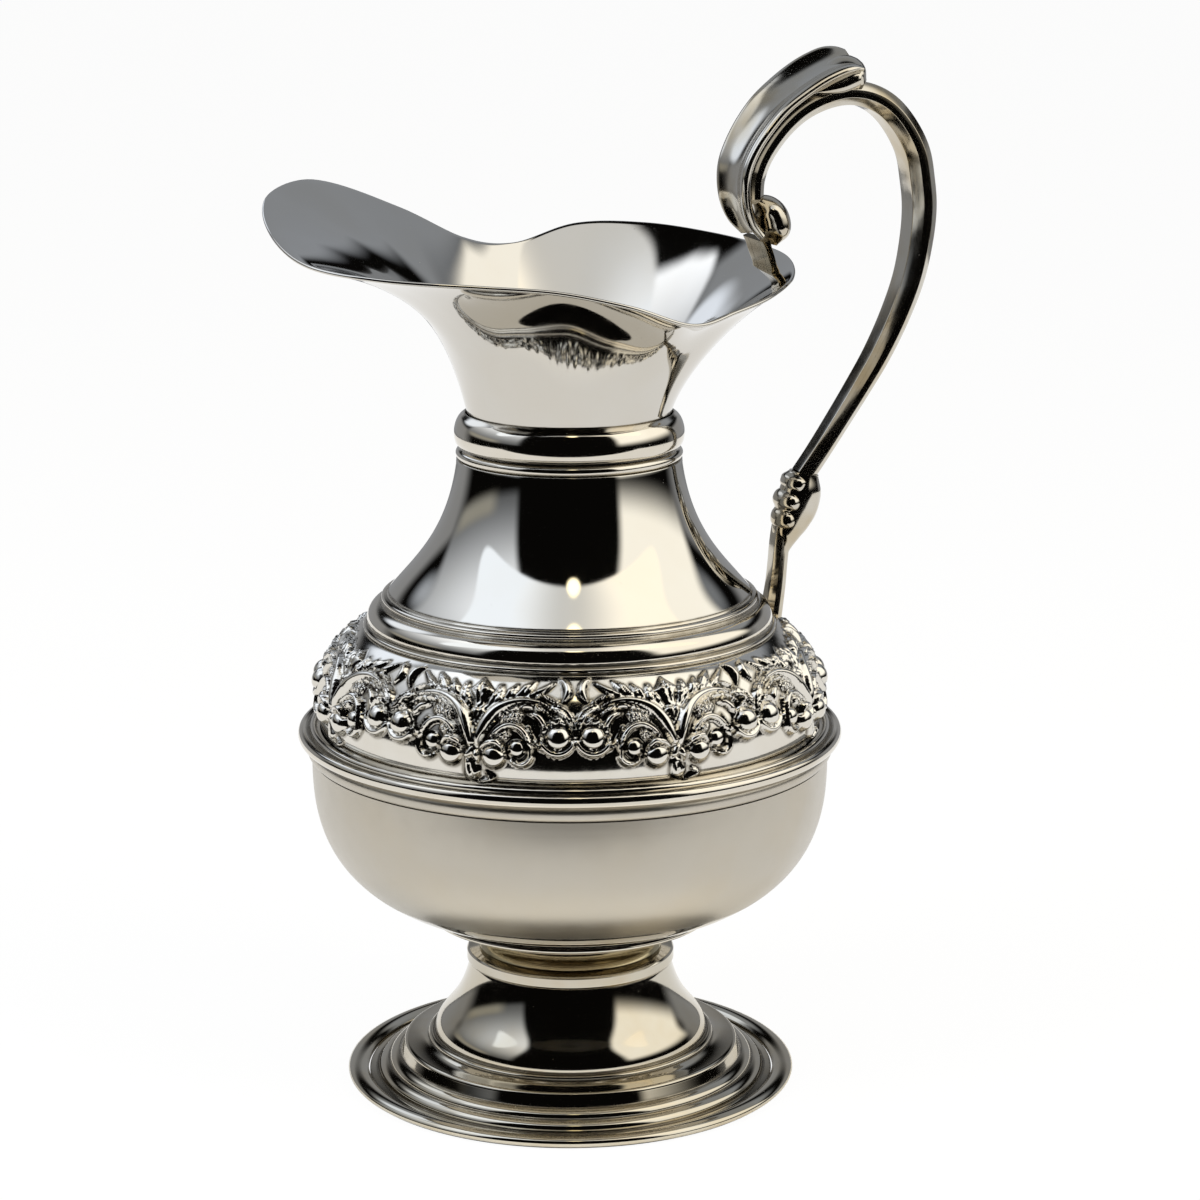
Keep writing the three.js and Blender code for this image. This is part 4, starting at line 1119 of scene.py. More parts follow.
    def relief(self, around: np.ndarray, up: np.ndarray) -> tuple[np.ndarray, np.ndarray, np.ndarray]:
        """Lays the forms over each other from back to front.

        Args:
            around: millimetres from the pendant's line, for each point of the band.
            up: millimetres up the face, for each point of the band.

        Returns:
            The height of the relief, how much painted shade each point takes on the low ground beside the forms, and
            how much it is hatched.
        """
        pitch = self.pitch()
        height, near, hatch = np.zeros_like(around), np.full_like(around, self.far), np.zeros_like(around)
        for form in self.forms:
            start, end = form.span()
            for side in (1, -1) if form.mirrored else (1,):
                for lap in (-pitch, 0.0, pitch):
                    low, high = sorted((side * start + lap, side * end + lap))
                    if high < -pitch / 2 or low > pitch / 2:
                        continue
                    raised, outside, texture = form.shape(side * (around - lap), up)
                    behind = height * (1 - self.undercut * np.exp(-((outside / self.halo) ** 2)))
                    hatch = np.where(raised > behind, texture, hatch)
                    height, near = np.maximum(behind, raised), np.minimum(near, outside)
        # Painted shade: the low ground right beside each form is darkened
        ground_shade = np.clip(1 - height / self.ground_height, 0, 1) * np.exp(-((near / self.ground_reach) ** 2))
        return height, ground_shade, hatch

    def tree(self) -> bpy.types.NodeTree:
        """Builds the tree that stands the repeats round the axis and solders them into one ring.

        Returns:
            The tree, with the count, the step, the axis, the weld distance and the finish as named inputs.
        """
        tree, given = nodes_for("frieze_repeats", (
            ("Repeats", "Int"), ("Step", "Float"), ("Axis", "Vector"), ("Weld", "Float"), ("Finish", "Material")))
        away = add(tree, "ShaderNodeVectorMath", {"operation": "SCALE"}, {0: given["Axis"], "Scale": -1.0})
        sector = add(tree, "GeometryNodeTransform", None, {"Geometry": given["Geometry"], "Translation": away})
        places = add(tree, "GeometryNodePoints", None, {"Count": given["Repeats"], "Position": given["Axis"]})
        turn = add(tree, "ShaderNodeMath", {"operation": "MULTIPLY"}, {
            0: add(tree, "GeometryNodeInputIndex"), 1: given["Step"]})
        angles = add(tree, "ShaderNodeCombineXYZ", None, {"Z": turn})
        copies = add(tree, "GeometryNodeInstanceOnPoints", None, {
            "Points": places, "Instance": sector, "Rotation": angles})
        return end_tree(tree, copies, given["Weld"], given["Finish"])

    def build(self, bench: Bench, name: str, face: Line, back: Line,
              finish: bpy.types.Material) -> bpy.types.Object:
        """Builds the band with its relief as one closed ring.

        Args:
            bench: where meshes are made.
            name: the piece's name.
            face: the plain outer face from bottom to top.
            back: the inner face from top to bottom.
            finish: the finish of the band.

        Returns:
            The finished ring.
        """
        line = np.array(face)
        lengths = np.concatenate(([0.0], np.cumsum(np.hypot(*np.diff(line, axis=0).T))))
        plain_low, plain_high = (0.0, 0.5, 1.5), np.linspace(self.high, float(lengths[-1]), 6)[1:]
        up = np.concatenate((plain_low, np.linspace(self.low, self.high, self.rows + 1), plain_high))
        radius, level = np.interp(up, lengths, line[:, 0]), np.interp(up, lengths, line[:, 1])
        slope_r, slope_z = np.gradient(radius, up), np.gradient(level, up)
        size = np.hypot(slope_r, slope_z)
        around = np.linspace(-self.pitch() / 2, self.pitch() / 2, self.columns + 1)
        grid_a, grid_s = np.meshgrid(around, up)
        height, ground_shade, hatch = self.relief(grid_a, grid_s)
        fade = np.clip((grid_s - self.low) / self.fade_low, 0, 1)
        fade = fade * np.clip((self.high - grid_s) / self.fade_high, 0, 1)
        height, ground_shade = height * fade, ground_shade * fade
        columns = [(radius + height[:, c] * slope_z / size, level - height[:, c] * slope_r / size)
                   for c in range(self.columns + 1)]
        points: list[Vector] = []
        recess: list[float] = []
        hatched: list[float] = []
        flat: list[float] = []
        count, stride = len(up) + len(back), self.columns + 1
        for row in range(count):
            front = row < len(up)
            for column, a in enumerate(around):
                turn = math.radians(self.pendant_turn) + a / self.scale_radius
                r, z = (columns[column][0][row], columns[column][1][row]) if front else back[row - len(up)]
                points.append(bench.place(float(r) * math.cos(turn), float(r) * math.sin(turn), float(z)))
                recess.append(float(ground_shade[row, column]) if front else 0.0)
                hatched.append(float(hatch[row, column]) if front else 0.0)
                flat.extend((float(a), float(up[row]) if front else 0.0, 0.0))
        faces = []
        for row in range(count):
            here, above = row * stride, (row + 1) % count * stride
            faces.extend((here + c, here + c + 1, above + c + 1, above + c) for c in range(self.columns))
        piece = bench.mesh(name, points, faces, recess)
        piece.data.attributes.new(HATCH, "FLOAT", "POINT").data.foreach_set("value", hatched)
        piece.data.attributes.new(UNROLLED, "FLOAT_VECTOR", "POINT").data.foreach_set("vector", flat)
        return grow(piece, self.tree(), {
            "Repeats": self.repeats, "Step": 2 * math.pi / self.repeats, "Axis": tuple(bench.axis),
            "Weld": self.weld * MM, "Finish": finish}, self.crisp)


# Shoulder


@dataclass
class Shoulder:
    """The convex shoulder that carries the frieze, and the stepped ring above it."""

    wall: float = 1.2
    base: float = 104.0
    foot_radius: float = 72.2
    top: float = 135.4
    top_radius: float = 59.6
    step_top: float = 146.0
    cone_foot: float = 52.2
    polish: float = 0.3

    def face(self) -> Line:
        """Returns the outer face of the plain shoulder under the relief."""
        return [
            (self.foot_radius, self.base),
            *bezier((self.foot_radius, 107.0), (75.95, 121.61), (64.1, 133.48),
                    (self.top_radius + 0.6, self.top - 0.2), 48),
            (self.top_radius, self.top), (self.top_radius - 2.4, self.top)]

    def step(self) -> Line:
        """Returns the outline of the bead, quarter round and fine bead that carry the cone."""
        inner = self.cone_foot - self.wall
        low = self.top
        return [
            (inner + 5.4, low), (59.2, low), *arc((59.0, low + 0.75), (0.6, 0.75), -80, 90, 8),
            (58.5, low + 1.6), (58.3, low + 2.3),
            *bezier((58.5, low + 2.7), (58.5, low + 5.4), (56.6, low + 7.2), (54.9, low + 7.45), 16),
            (54.4, low + 7.5), (54.25, low + 8.0),
            *arc((53.3, low + 9.0), (0.95, 0.85), -50, 90, 8),
            (52.6, low + 9.9), (self.cone_foot, self.step_top), (inner, self.step_top),
            (inner + 0.2, low + 7.8), (inner + 2.4, low + 5.2), (inner + 4.6, low + 2.6)]

    def build(self, bench: Bench, finish: dict[str, bpy.types.Material]) -> None:
        """Builds and dresses the shoulder and its stepped ring.

        Args:
            bench: where meshes are made.
            finish: the finishes by part.
        """
        front = self.face()
        back = offset(front, self.wall)[:-2:6][::-1]
        band = Frieze().build(bench, "shoulder_raised_band", front, back, finish["band"])
        settle(band, finish["band"], "shoulder_plate", "shoulder_band")
        step = bench.turned("shoulder_stepped_ring", eased(self.step(), self.polish, 40), spacing=0.9,
                            seams=[(59.3, self.top), (self.cone_foot, self.step_top)])
        settle(step, finish["moulding"], "moulding_plate", "shoulder_step")


# Neck


@dataclass
class Neck:
    """The concave mirror-bright cone with the bead and the collar that hold the mouth."""

    wall: float = 1.2
    base: float = 146.0
    foot_radius: float = 52.2
    top: float = 184.6
    top_radius: float = 32.3
    spigot_radius: float = 29.3
    spigot_top: float = 190.3
    bead_top: float = 188.3
    collar_top: float = 198.0
    polish: float = 0.3

    def cone(self) -> Line:
        """Returns the outer face of the cone and the spigot that it ends in."""
        return [
            *bezier((self.foot_radius, self.base), (45.1, 154.6), (34.84, 162.81), (self.top_radius, self.top), 60),
            (self.spigot_radius, self.top), (self.spigot_radius, self.spigot_top)]

    def bead(self) -> Line:
        """Returns the outline of the bead at the top of the cone."""
        bore = self.spigot_radius + 0.3
        return [
            (bore, self.top), (31.4, self.top), *arc((31.3, 186.1), (1.2, 1.35), -75, 75, 12),
            (31.35, 187.6), (31.3, self.bead_top), (bore, self.bead_top)]

    def collar(self) -> Line:
        """Returns the outline of the round collar that the mouth stands in."""
        bore = self.spigot_radius + 0.3
        return [
            (bore, self.bead_top), (31.5, self.bead_top),
            *bezier((31.8, self.bead_top + 0.2), (33.5, 189.6), (33.3, 194.8), (31.2, 196.9), 22),
            (30.4, 197.5), (bore + 0.2, self.collar_top - 0.1), (bore, self.collar_top - 0.3)]

    def build(self, bench: Bench, finish: dict[str, bpy.types.Material]) -> None:
        """Builds and dresses the cone and its rings.

        Args:
            bench: where meshes are made.
            finish: the finishes by part.
        """
        cone = bench.turned("neck_mirror_cone", eased(sheet(self.cone(), self.wall), self.polish, 50),
                            seams=[(self.foot_radius, self.base)])
        settle(cone, finish["neck"], "neck_plate", "neck_cone")
        bead = bench.turned("neck_fine_bead", self.bead(), spacing=0.8,
                            seams=[(31.3, self.bead_top), (31.4, self.top)])
        settle(bead, finish["moulding"], "moulding_plate", "neck_bead")
        collar = bench.turned("neck_round_collar", self.collar(), spacing=0.8,
                              seams=[(31.5, self.bead_top), (30.0, self.collar_top)])
        settle(collar, finish["moulding"], "moulding_plate", "neck_collar")


# Mouth


@dataclass(frozen=True)
class RimStation:
    """One place on the rim: its turn from the handle, its reach and height, and how the wall leaves the funnel."""

    turn: float
    reach: float
    height: float
    bend_out: float
    bend_up: float
    straight: float = 9.0


@dataclass
class Mouth:
    """The hand-raised mouth: a funnel with a long lip, two wavy sides and a short tongue for the handle."""

    base: float = 190.3
    flare: float = 198.2
    base_radius: float = 29.3
    wall: float = 1.1
    turns: int = 240
    rows: int = 48
    start_slope: float = 73.0
    edge_round: float = 0.9
    seam_tarnish_and_shade: float = 0.6
    seam_rows: int = 3
    crisp: float = 60.0
    stations: tuple[RimStation, ...] = (
        RimStation(0, 66.6, 238.7, 0.47, 0.74),
        RimStation(15, 65.8, 240.6, 0.48, 0.71),
        RimStation(30, 62.8, 242.6, 0.5, 0.68),
        RimStation(50, 59.8, 244.5, 0.52, 0.65),
        RimStation(70, 57.6, 244.1, 0.51, 0.64),
        RimStation(90, 54.1, 239, 0.48, 0.64),
        RimStation(110, 52, 242.1, 0.41, 0.64),
        RimStation(130, 59.3, 252, 0.29, 0.62),
        RimStation(150, 75.1, 261.4, 0.18, 0.6),
        RimStation(165, 84.6, 259.3, 0.12, 0.66),
        RimStation(180, 86.9, 252.4, 0.1, 0.72),
        RimStation(195, 85.4, 245.4, 0.12, 0.78),
        RimStation(210, 78.2, 242.9, 0.18, 0.8),
        RimStation(230, 63, 240.9, 0.32, 0.78),
        RimStation(250, 55.7, 239, 0.52, 0.76, 10),
        RimStation(270, 55.2, 234.6, 0.52, 0.82, 12),
        RimStation(290, 55.3, 228.3, 0.5, 0.92, 14),
        RimStation(310, 54.9, 229.9, 0.5, 0.88, 14),
        RimStation(330, 59.1, 232.4, 0.5, 0.76, 11),
        RimStation(345, 64.2, 235.4, 0.48, 0.72),
    )

    def read(self, turn: float) -> RimStation:
        """Reads the rim between its stations.

        Args:
            turn: degrees from the handle, towards the far side first.

        Returns:
            The station at that turn, joined smoothly to its neighbours.
        """
        count = len(self.stations)
        rows = [astuple(station) for station in self.stations]

        def row(index: int) -> tuple[float, ...]:
            """Returns a station's values, counted on round the rim."""
            lap, place = divmod(index, count)
            return (rows[place][0] + 360 * lap, *rows[place][1:])

        start = 0
        while start + 1 < count and rows[start + 1][0] <= turn:
            start += 1
        r0, r1, r2, r3 = (row(start + shift) for shift in (-1, 0, 1, 2))
        span = r2[0] - r1[0]
        u = (turn - r1[0]) / span
        values = []
        for axis in range(1, len(rows[0])):
            slope_in = (r2[axis] - r0[axis]) / (r2[0] - r0[0]) * span
            slope_out = (r3[axis] - r1[axis]) / (r3[0] - r1[0]) * span
            values.append(
                r1[axis] * (2 * u**3 - 3 * u**2 + 1) + slope_in * (u**3 - 2 * u**2 + u)
                + r2[axis] * (3 * u**2 - 2 * u**3) + slope_out * (u**3 - u**2))
        return RimStation(turn, *values)

    def wall_line(self, turn: float) -> Line:
        """Returns the outer face of the mouth at one turn, from the collar to the rim."""
        rim = self.read(turn)
        start = (self.base_radius, self.flare)
        slope = math.radians(self.start_slope)
        curve = bezier(
            start,
            (self.base_radius + rim.straight * math.cos(slope), self.flare + rim.straight * math.sin(slope)),
            (mix(self.base_radius, rim.reach, rim.bend_out), mix(self.flare, rim.height, rim.bend_up)),
            (rim.reach, rim.height), self.rows)
        return [(self.base_radius, self.base), (self.base_radius, mix(self.base, self.flare, 0.5)), *curve]

    def build(self, bench: Bench, finish: dict[str, bpy.types.Material]) -> None:
        """Builds and dresses the mouth as one sheet with a softened edge.

        Args:
            bench: where meshes are made.
            finish: the finishes by part.
        """
        outer: list[list[Vector]] = []
        for step in range(self.turns):
            turn = 360 * step / self.turns
            angle = math.radians(turn)
            outer.append([Vector((r * math.cos(angle), r * math.sin(angle), z)) for r, z in self.wall_line(turn)])
        rows = len(outer[0])
        normals: list[list[Vector]] = []
        for step, column in enumerate(outer):
            left, right = outer[step - 1], outer[(step + 1) % self.turns]
            normals.append([
                (right[row] - left[row]).cross(column[min(row + 1, rows - 1)] - column[max(row - 1, 0)]).normalized()
                for row in range(rows)])
        rims = [(column[-1], line[-1], (column[-1] - column[-2]).normalized())
                for column, line in zip(outer, normals)]
        points: list[Vector] = []
        recess: list[float] = []
        half = self.wall / 2

        def ring(line: Sequence[Vector], tarnish_and_shade: float = 0.0) -> None:
            """Adds one ring of points round the mouth."""
            points.extend(line)
            recess.extend([tarnish_and_shade] * self.turns)

        # The outer face up to the edge, the rounded edge, and the inner face down again
        # The rows nearest the collar take tarnish with painted shade
        for row in range(rows - 1):
            ring([column[row] for column in outer], self.seam_tarnish_and_shade if row < self.seam_rows else 0.0)
        ring([edge - rise * half for edge, _, rise in rims])
        for swing in (math.radians(turn) for turn in (30, 60, 90, 120, 150)):
            ring([edge - normal * half * (1 - math.cos(swing)) - rise * half * (1 - math.sin(swing)) * self.edge_round
                  for edge, normal, rise in rims])
        ring([edge - rise * half - normal * self.wall for edge, normal, rise in rims])
        for row in range(rows - 2, -1, -1):
            ring([column[row] - line[row] * self.wall for column, line in zip(outer, normals)])
        faces = []
        for here in range(0, len(points), self.turns):
            above = (here + self.turns) % len(points)
            for step in range(self.turns):
                after = (step + 1) % self.turns
                faces.append((here + step, here + after, above + after, above + step))
        placed = [bench.place(*p) for p in points]
        mouth = faced(bench.mesh("mouth_raised_funnel", placed, faces, recess, self.crisp))
        settle(mouth, finish["mouth"], "mouth_plate", "mouth")


# Handle


class Section(Enum):
    """What a piece of the handle looks like when it is cut across."""

    CHANNEL = "channel"
    FACETS = "facets"
    ROUND = "round"
    STRIP = "strip"


@dataclass(frozen=True)
class Rail:
    """One cast piece of the handle: its line in shares of the handle's box, and how the metal changes along it.

    A piece without a node is one that only the dressed model has.
    """

    name: str
    node: str
    section: Section
    stations: int
    shares: tuple[Point, ...]
    width: float
    widths: tuple[float, ...]
    thickness: float
    thicknesses: tuple[float, ...]
    rolls: tuple[float, ...] = (0.0, 0.0)
    # How much tarnish with painted shade the piece takes along it, from 0 to 1
    tarnish_and_shade: tuple[float, ...] = (0.0, 0.0)
    finish: str = "handle"


@dataclass
class Handle:
    """The cast scroll handle: strap, thumb ribbon with its spur, faceted arch, knuckle and slender leg."""

    left: float = 44.0
    right: float = 110.0
    bottom: float = 137.0
    top: float = 299.0
    polish: float = 0.05
    channel: tuple[Point, ...] = (
        (-0.47, -0.1), (-0.5, 0.16), (-0.485, 0.38), (-0.44, 0.47), (-0.37, 0.43), (-0.28, 0.29), (-0.18, 0.15),
        (-0.08, 0.07), (0.06, 0.05), (0.2, 0.13), (0.32, 0.28), (0.4, 0.41), (0.45, 0.46), (0.485, 0.38), (0.5, 0.16),
        (0.47, -0.1), (0.34, -0.42), (0.2, -0.5), (-0.2, -0.5), (-0.34, -0.42))
    facets: tuple[Point, ...] = (
        (-0.5, -0.16), (-0.5, 0.16), (-0.3, 0.5), (0.3, 0.5), (0.5, 0.16), (0.5, -0.16), (0.3, -0.5), (-0.3, -0.5))
    strip: tuple[Point, ...] = (
        (-0.5, -0.4), (-0.5, 0.3), (-0.44, 0.5), (0.44, 0.5), (0.5, 0.3), (0.5, -0.4), (0.44, -0.5), (-0.44, -0.5))
    rails: tuple[Rail, ...] = (
        Rail("handle_ribbon_channel", "handle_thumb_ribbon", Section.CHANNEL, 120,
             ((0.179, 0.676), (0.132, 0.699), (0.102, 0.728), (0.091, 0.762), (0.1, 0.796), (0.135, 0.83),
              (0.188, 0.864), (0.258, 0.898), (0.342, 0.926), (0.436, 0.951), (0.524, 0.968), (0.588, 0.9745),
              (0.632, 0.972)),
             23, (0.74, 0.82, 0.9, 0.96, 1, 1.02, 1.02, 1.02, 1.01, 1, 0.99, 0.98, 0.97, 0.96, 0.93, 0.8),
             4.2, (0.8, 0.95, 1, 1, 1, 1, 1, 1, 1, 0.98, 0.96, 0.96, 0.95, 0.9, 0.8, 0.5),
             tuple(14 * s for s in (0, 0, 0, 0.1, 0.3, 0.5, 0.7, 0.85, 1))),
        Rail("handle_tip_web", "", Section.ROUND, 56,
             ((0.4, 0.918), (0.48, 0.934), (0.55, 0.945), (0.596, 0.952), (0.628, 0.953), (0.652, 0.938)),
             16, (0.6, 0.9, 1, 1.05, 1.05, 0.85), 8, (0.3, 0.6, 0.95, 1.1, 1.1, 0.6), (0.0, 14.0, 10.0)),
        Rail("handle_foot_strap", "handle_strap", Section.STRIP, 24,
             ((0.258, 0.588), (0.236, 0.612), (0.212, 0.64), (0.19, 0.667)),
             18, (0.86, 0.94, 1, 1), 1.7, (1.5, 1.0, 1.35, 0.95, 1, 1, 1, 1.3),
             tarnish_and_shade=(0.3, 0.0, 0.0, 0.1), finish="strap"),
        Rail("handle_faceted_arch", "handle_arch", Section.FACETS, 140,
             ((0.161, 0.738), (0.165, 0.772), (0.191, 0.805), (0.239, 0.837), (0.302, 0.867), (0.382, 0.893),
              (0.479, 0.911), (0.583, 0.919), (0.685, 0.913), (0.777, 0.893), (0.856, 0.858), (0.918, 0.812),
              (0.944, 0.762), (0.957, 0.71), (0.946, 0.651), (0.912, 0.583), (0.848, 0.514), (0.765, 0.446),
              (0.671, 0.384), (0.576, 0.325), (0.485, 0.27), (0.42, 0.2335)),
             12.5, (0.9, 1, 1.06, 1.1, 1.12, 1.12, 1.1, 1.04, 0.98, 0.92, 0.86, 0.8, 0.74),
             6.4, (0.86, 0.92, 1, 1.08, 1.16, 1.2, 1.2, 1.14, 1.06, 0.98, 0.9, 0.84, 0.84)),
        Rail("handle_beaded_knuckle", "handle_knuckle", Section.ROUND, 64,
             ((0.428, 0.238), (0.414, 0.21), (0.398, 0.179), (0.374, 0.155), (0.346, 0.131), (0.32, 0.1)),
             12, (0.85, 1, 1, 0.92, 0.8, 0.6), 12, (0.7, 1, 1.02, 0.9, 0.68, 0.4)),
        Rail("handle_knuckle_beads", "", Section.ROUND, 96,
             ((0.391, 0.238), (0.376, 0.216), (0.3515, 0.191), (0.335, 0.1636), (0.333, 0.138)),
             12, (0.6, 0.92, 0.98, 0.94, 0.76, 0.98, 1.06, 1.0, 0.76, 0.9, 0.96, 0.9, 0.6),
             7.4, (0.6, 0.92, 0.98, 0.94, 0.76, 0.98, 1.06, 1.0, 0.76, 0.9, 0.96, 0.9, 0.6), tarnish_and_shade=(0.2, 0.2)),
        Rail("handle_slender_leg", "handle_leg", Section.FACETS, 48,
             ((0.376, 0.194), (0.352, 0.166), (0.328, 0.138), (0.314, 0.108), (0.306, 0.074), (0.296, 0.031),
              (0.272, -0.03)),
             8, (1.15, 1, 0.9, 0.9, 1), 5.2, (1.3, 1, 0.9, 0.95, 1.05)),
        Rail("handle_curled_spur", "handle_spur", Section.ROUND, 56,
             ((0.185, 0.735), (0.225, 0.722), (0.258, 0.702), (0.268, 0.678), (0.256, 0.655)),
             15, (0.5, 0.95, 1.06, 1, 0.5), 8.4, (0.4, 0.95, 1.12, 1.0, 0.35)),
    )

    def line(self, shares: Sequence[Point]) -> Line:
        """Turns shares of the handle's box into a line in millimetres."""
        return [(mix(self.left, self.right, x), mix(self.bottom, self.top, z)) for x, z in shares]

    def cut(self, section: Section) -> Line:
        """Returns the closed outline of a section in shares of its width and thickness, with its edges eased."""
        if section is Section.ROUND:
            return arc((0, 0), (0.5, 0.5), 0, -360, 40)[:-1]
        if section is Section.CHANNEL:
            return smooth([*self.channel, self.channel[0]], 64)[:-1]
        corners = self.facets if section is Section.FACETS else self.strip
        return filled(eased(list(corners), self.polish, 10), 0.2)

    def build(self, bench: Bench, finish: dict[str, bpy.types.Material]) -> None:
        """Builds and dresses the pieces of the handle.

        Args:
            bench: where meshes are made.
            finish: the finishes by part.
        """
        for rail in self.rails:
            piece = bench.swept(rail, self.line(rail.shares), self.cut(rail.section))
            settle(piece, finish[rail.finish], "handle_plate", *filter(None, [rail.node]))


# Studio


@dataclass(frozen=True)
class Light:
    """One soft light on the room's wall as the metal sees it, by where it stands round the table.

    Angles are degrees. The azimuth is 0 towards the camera and grows to the camera's right. Level is how bright it
    is, low is the share of that at its foot, and bend is how late it brightens going up.
    """

    azimuth: float
    elevation: float
    width: float
    height: float
    edge: float
    level: float
    colour: str = "#FFFFFF"
    fade: float = 6.0
    low: float = 1.0
    bend: float = 1.0


@dataclass(frozen=True)
class Card:
    """One oval cloth near the carafe that glows: where it hangs and what it faces, in metres as the camera sees it.

    The first length counts to the camera's right, the second away from it and the third upwards.
    """

    name: str
    place: tuple[float, float, float]
    facing: tuple[float, float, float]
    reach: Point
    level: float
    middle: float
    edge: float
    left: str = "#E8F1FF"
    right: str = "#FFF9EC"


@dataclass
class Studio:
    """A pale table in a dim room, soft lights and cloths that only the metal sees, two area lamps, and the camera."""

    axis: Vector
    camera_azimuth: float = -108.0
    camera_distance: float = 976.1
    camera_height: float = 370.5
    camera_tilt: float = 76.85
    camera_turn: float = -0.514
    lens: float = 104.2
    room_radius: float = 1.12
    eye_height: float = 0.15
    table_radius: float = 14.0
    lights: tuple[Light, ...] = (
        Light(180, 42, 120, 34, 25, 0.42, "#EAF2FF", fade=8.0),
        Light(180, 3, 120, 22, 20, 0.36, "#F1F4FA", fade=8.0),
        Light(-87, 36, 72, 56, 8, 2.1, "#ECF3FF", fade=5.0, low=0.08, bend=1.3),
        Light(84, 47, 70, 74, 9, 1.5, "#FFFDF6", fade=18.0),
        Light(-97, 11, 42, 7, 16, 0.4, "#FFFDF2", fade=6.0),
    )
    cards: tuple[Card, ...] = (
        Card("overhead_softbox", (0.0, -0.106, 0.48), (0.0, -0.106, 0.0), (0.62, 0.116), 1.7, 0.6, 0.15),
        Card("rear_reflector", (-0.3, 0.33, 0.45), (0.08, 0.02, 0.27), (0.17, 0.15), 1.5, 1.0, 0.5,
             "#E4EEFF", "#E4EEFF"),
        Card("hanging_lamp", (0.012, -0.185, 0.425), (0.0, -0.04, 0.17), (0.027, 0.027), 3.0, 1.0, 0.45,
             "#FFF2CC", "#FFF2CC"),
    )
    lamps: tuple[tuple[str, float, str], ...] = (("softbox_left", -60, "#F4F8FF"), ("softbox_right", 60, "#FFF8EA"))
    lamp_height: float = 0.9
    lamp_distance: float = 1.1
    lamp_size: float = 0.8
    lamp_power: float = 17.0
    lamp_aim: float = 0.1
    table_depth: float = 0.0002
    floor_height: float = 0.0004
    paper_share: float = 0.94
    table_front: float = 0.37
    dark: float = 0.012

    def level(self) -> tuple[Vector, Vector]:
        """Returns the level directions from the vessel to the camera, and to the camera's right."""
        turn = math.radians(self.camera_azimuth)
        return Vector((math.cos(turn), math.sin(turn), 0.0)), Vector((-math.sin(turn), math.cos(turn), 0.0))

    def place(self, turn: float, distance: float, height: float) -> Vector:
        """Returns a place that is seen from the vessel at a turn from the camera, in degrees."""
        angle = math.radians(self.camera_azimuth + turn)
        return Vector((self.axis.x + distance * math.cos(angle), self.axis.y + distance * math.sin(angle), height))

    def stand(self, name: str, points: Sequence[Any], faces: Sequence[Any],
              material: bpy.types.Material) -> bpy.types.Object:
        """Makes one piece of the stage.

        Args:
            name: its name.
            points: its points in metres.
            faces: its faces.
            material: its finish.

        Returns:
            The piece, linked to the scene.
        """
        data = bpy.data.meshes.new(name)
        data.from_pydata(points, [], faces)
        data.materials.append(material)
        piece = bpy.data.objects.new(name, data)
        bpy.context.scene.collection.objects.link(piece)
        return piece

    def paper(self) -> bpy.types.Material:
        """Returns the table's pale paper, white to the eye and in the metal, which still takes a soft shadow."""
        material, tree = blank("matte_white_table_paper")
        rays, shown = plainly_seen(tree)
        place = add(tree, "ShaderNodeTexCoord").outputs["Object"]
        apart = add(tree, "ShaderNodeVectorMath", {"operation": "DISTANCE"}, {0: place, 1: tuple(self.axis)})
        # Painted shadow, with the real one under it: near the foot the white glow is taken away for the metal's rays,
        # so it sees the table dark where the vessel shades it
        shade = add(tree, "ShaderNodeMapRange", {"interpolation_type": "SMOOTHSTEP"}, {
            "Value": apart.outputs["Value"], "From Min": 0.07, "From Max": 0.15, "To Min": 0.08, "To Max": 1.0})
        lit = add(tree, "ShaderNodeMath", {"operation": "MAXIMUM"}, {0: shade, 1: rays.outputs["Is Camera Ray"]})
        full = add(tree, "ShaderNodeMath", {"operation": "MULTIPLY"}, {0: shown, 1: self.paper_share})
        share = add(tree, "ShaderNodeMath", {"operation": "MULTIPLY"}, {0: full, 1: lit})
        grain = add(tree, "ShaderNodeTexNoise", None, {"Vector": place, "Scale": 900.0, "Detail": 2.0})
        fibre = add(tree, "ShaderNodeBump", None, {"Strength": 0.2, "Distance": 0.0001, "Height": grain})
        matte = add(tree, "ShaderNodeBsdfDiffuse", None, {"Color": linear("#F2F1EE"), "Normal": fibre})
        white = add(tree, "ShaderNodeEmission", None, {"Color": linear("#FFFFFF"), "Strength": 1.0})
        both = add(tree, "ShaderNodeMixShader", None, {0: share, 1: matte, 2: white})
        add(tree, "ShaderNodeOutputMaterial", None, {"Surface": both})
        return material

    def room(self) -> bpy.types.Material:
        """Returns the dim room with its lights, as one glowing finish that only the metal sees."""
        material, tree = blank("studio_room")
        place = add(tree, "ShaderNodeTexCoord")
        seen = add(tree, "ShaderNodeVectorMath", {"operation": "SUBTRACT"}, {
            0: place.outputs["Object"], 1: (0.0, 0.0, self.eye_height)})
        ray = add(tree, "ShaderNodeVectorMath", {"operation": "NORMALIZE"}, {0: seen})
        near, side = (
            add(tree, "ShaderNodeVectorMath", {"operation": "DOT_PRODUCT"}, {0: ray, 1: tuple(way)}).outputs["Value"]
            for way in self.level())
        split = add(tree, "ShaderNodeSeparateXYZ", None, {0: ray})
        azimuth = add(tree, "ShaderNodeMath", {"operation": "ARCTAN2"}, {0: side, 1: near})
        elevation = add(tree, "ShaderNodeMath", {"operation": "ARCSINE"}, {0: split.outputs["Z"]})
        glow = add(tree, "ShaderNodeEmission", None, {"Color": linear(STAGE_GREY), "Strength": self.dark})
        for light in self.lights:
            glow = self.shine(tree, azimuth, elevation, light, glow)
        add(tree, "ShaderNodeOutputMaterial", None, {"Surface": glow})
        return material

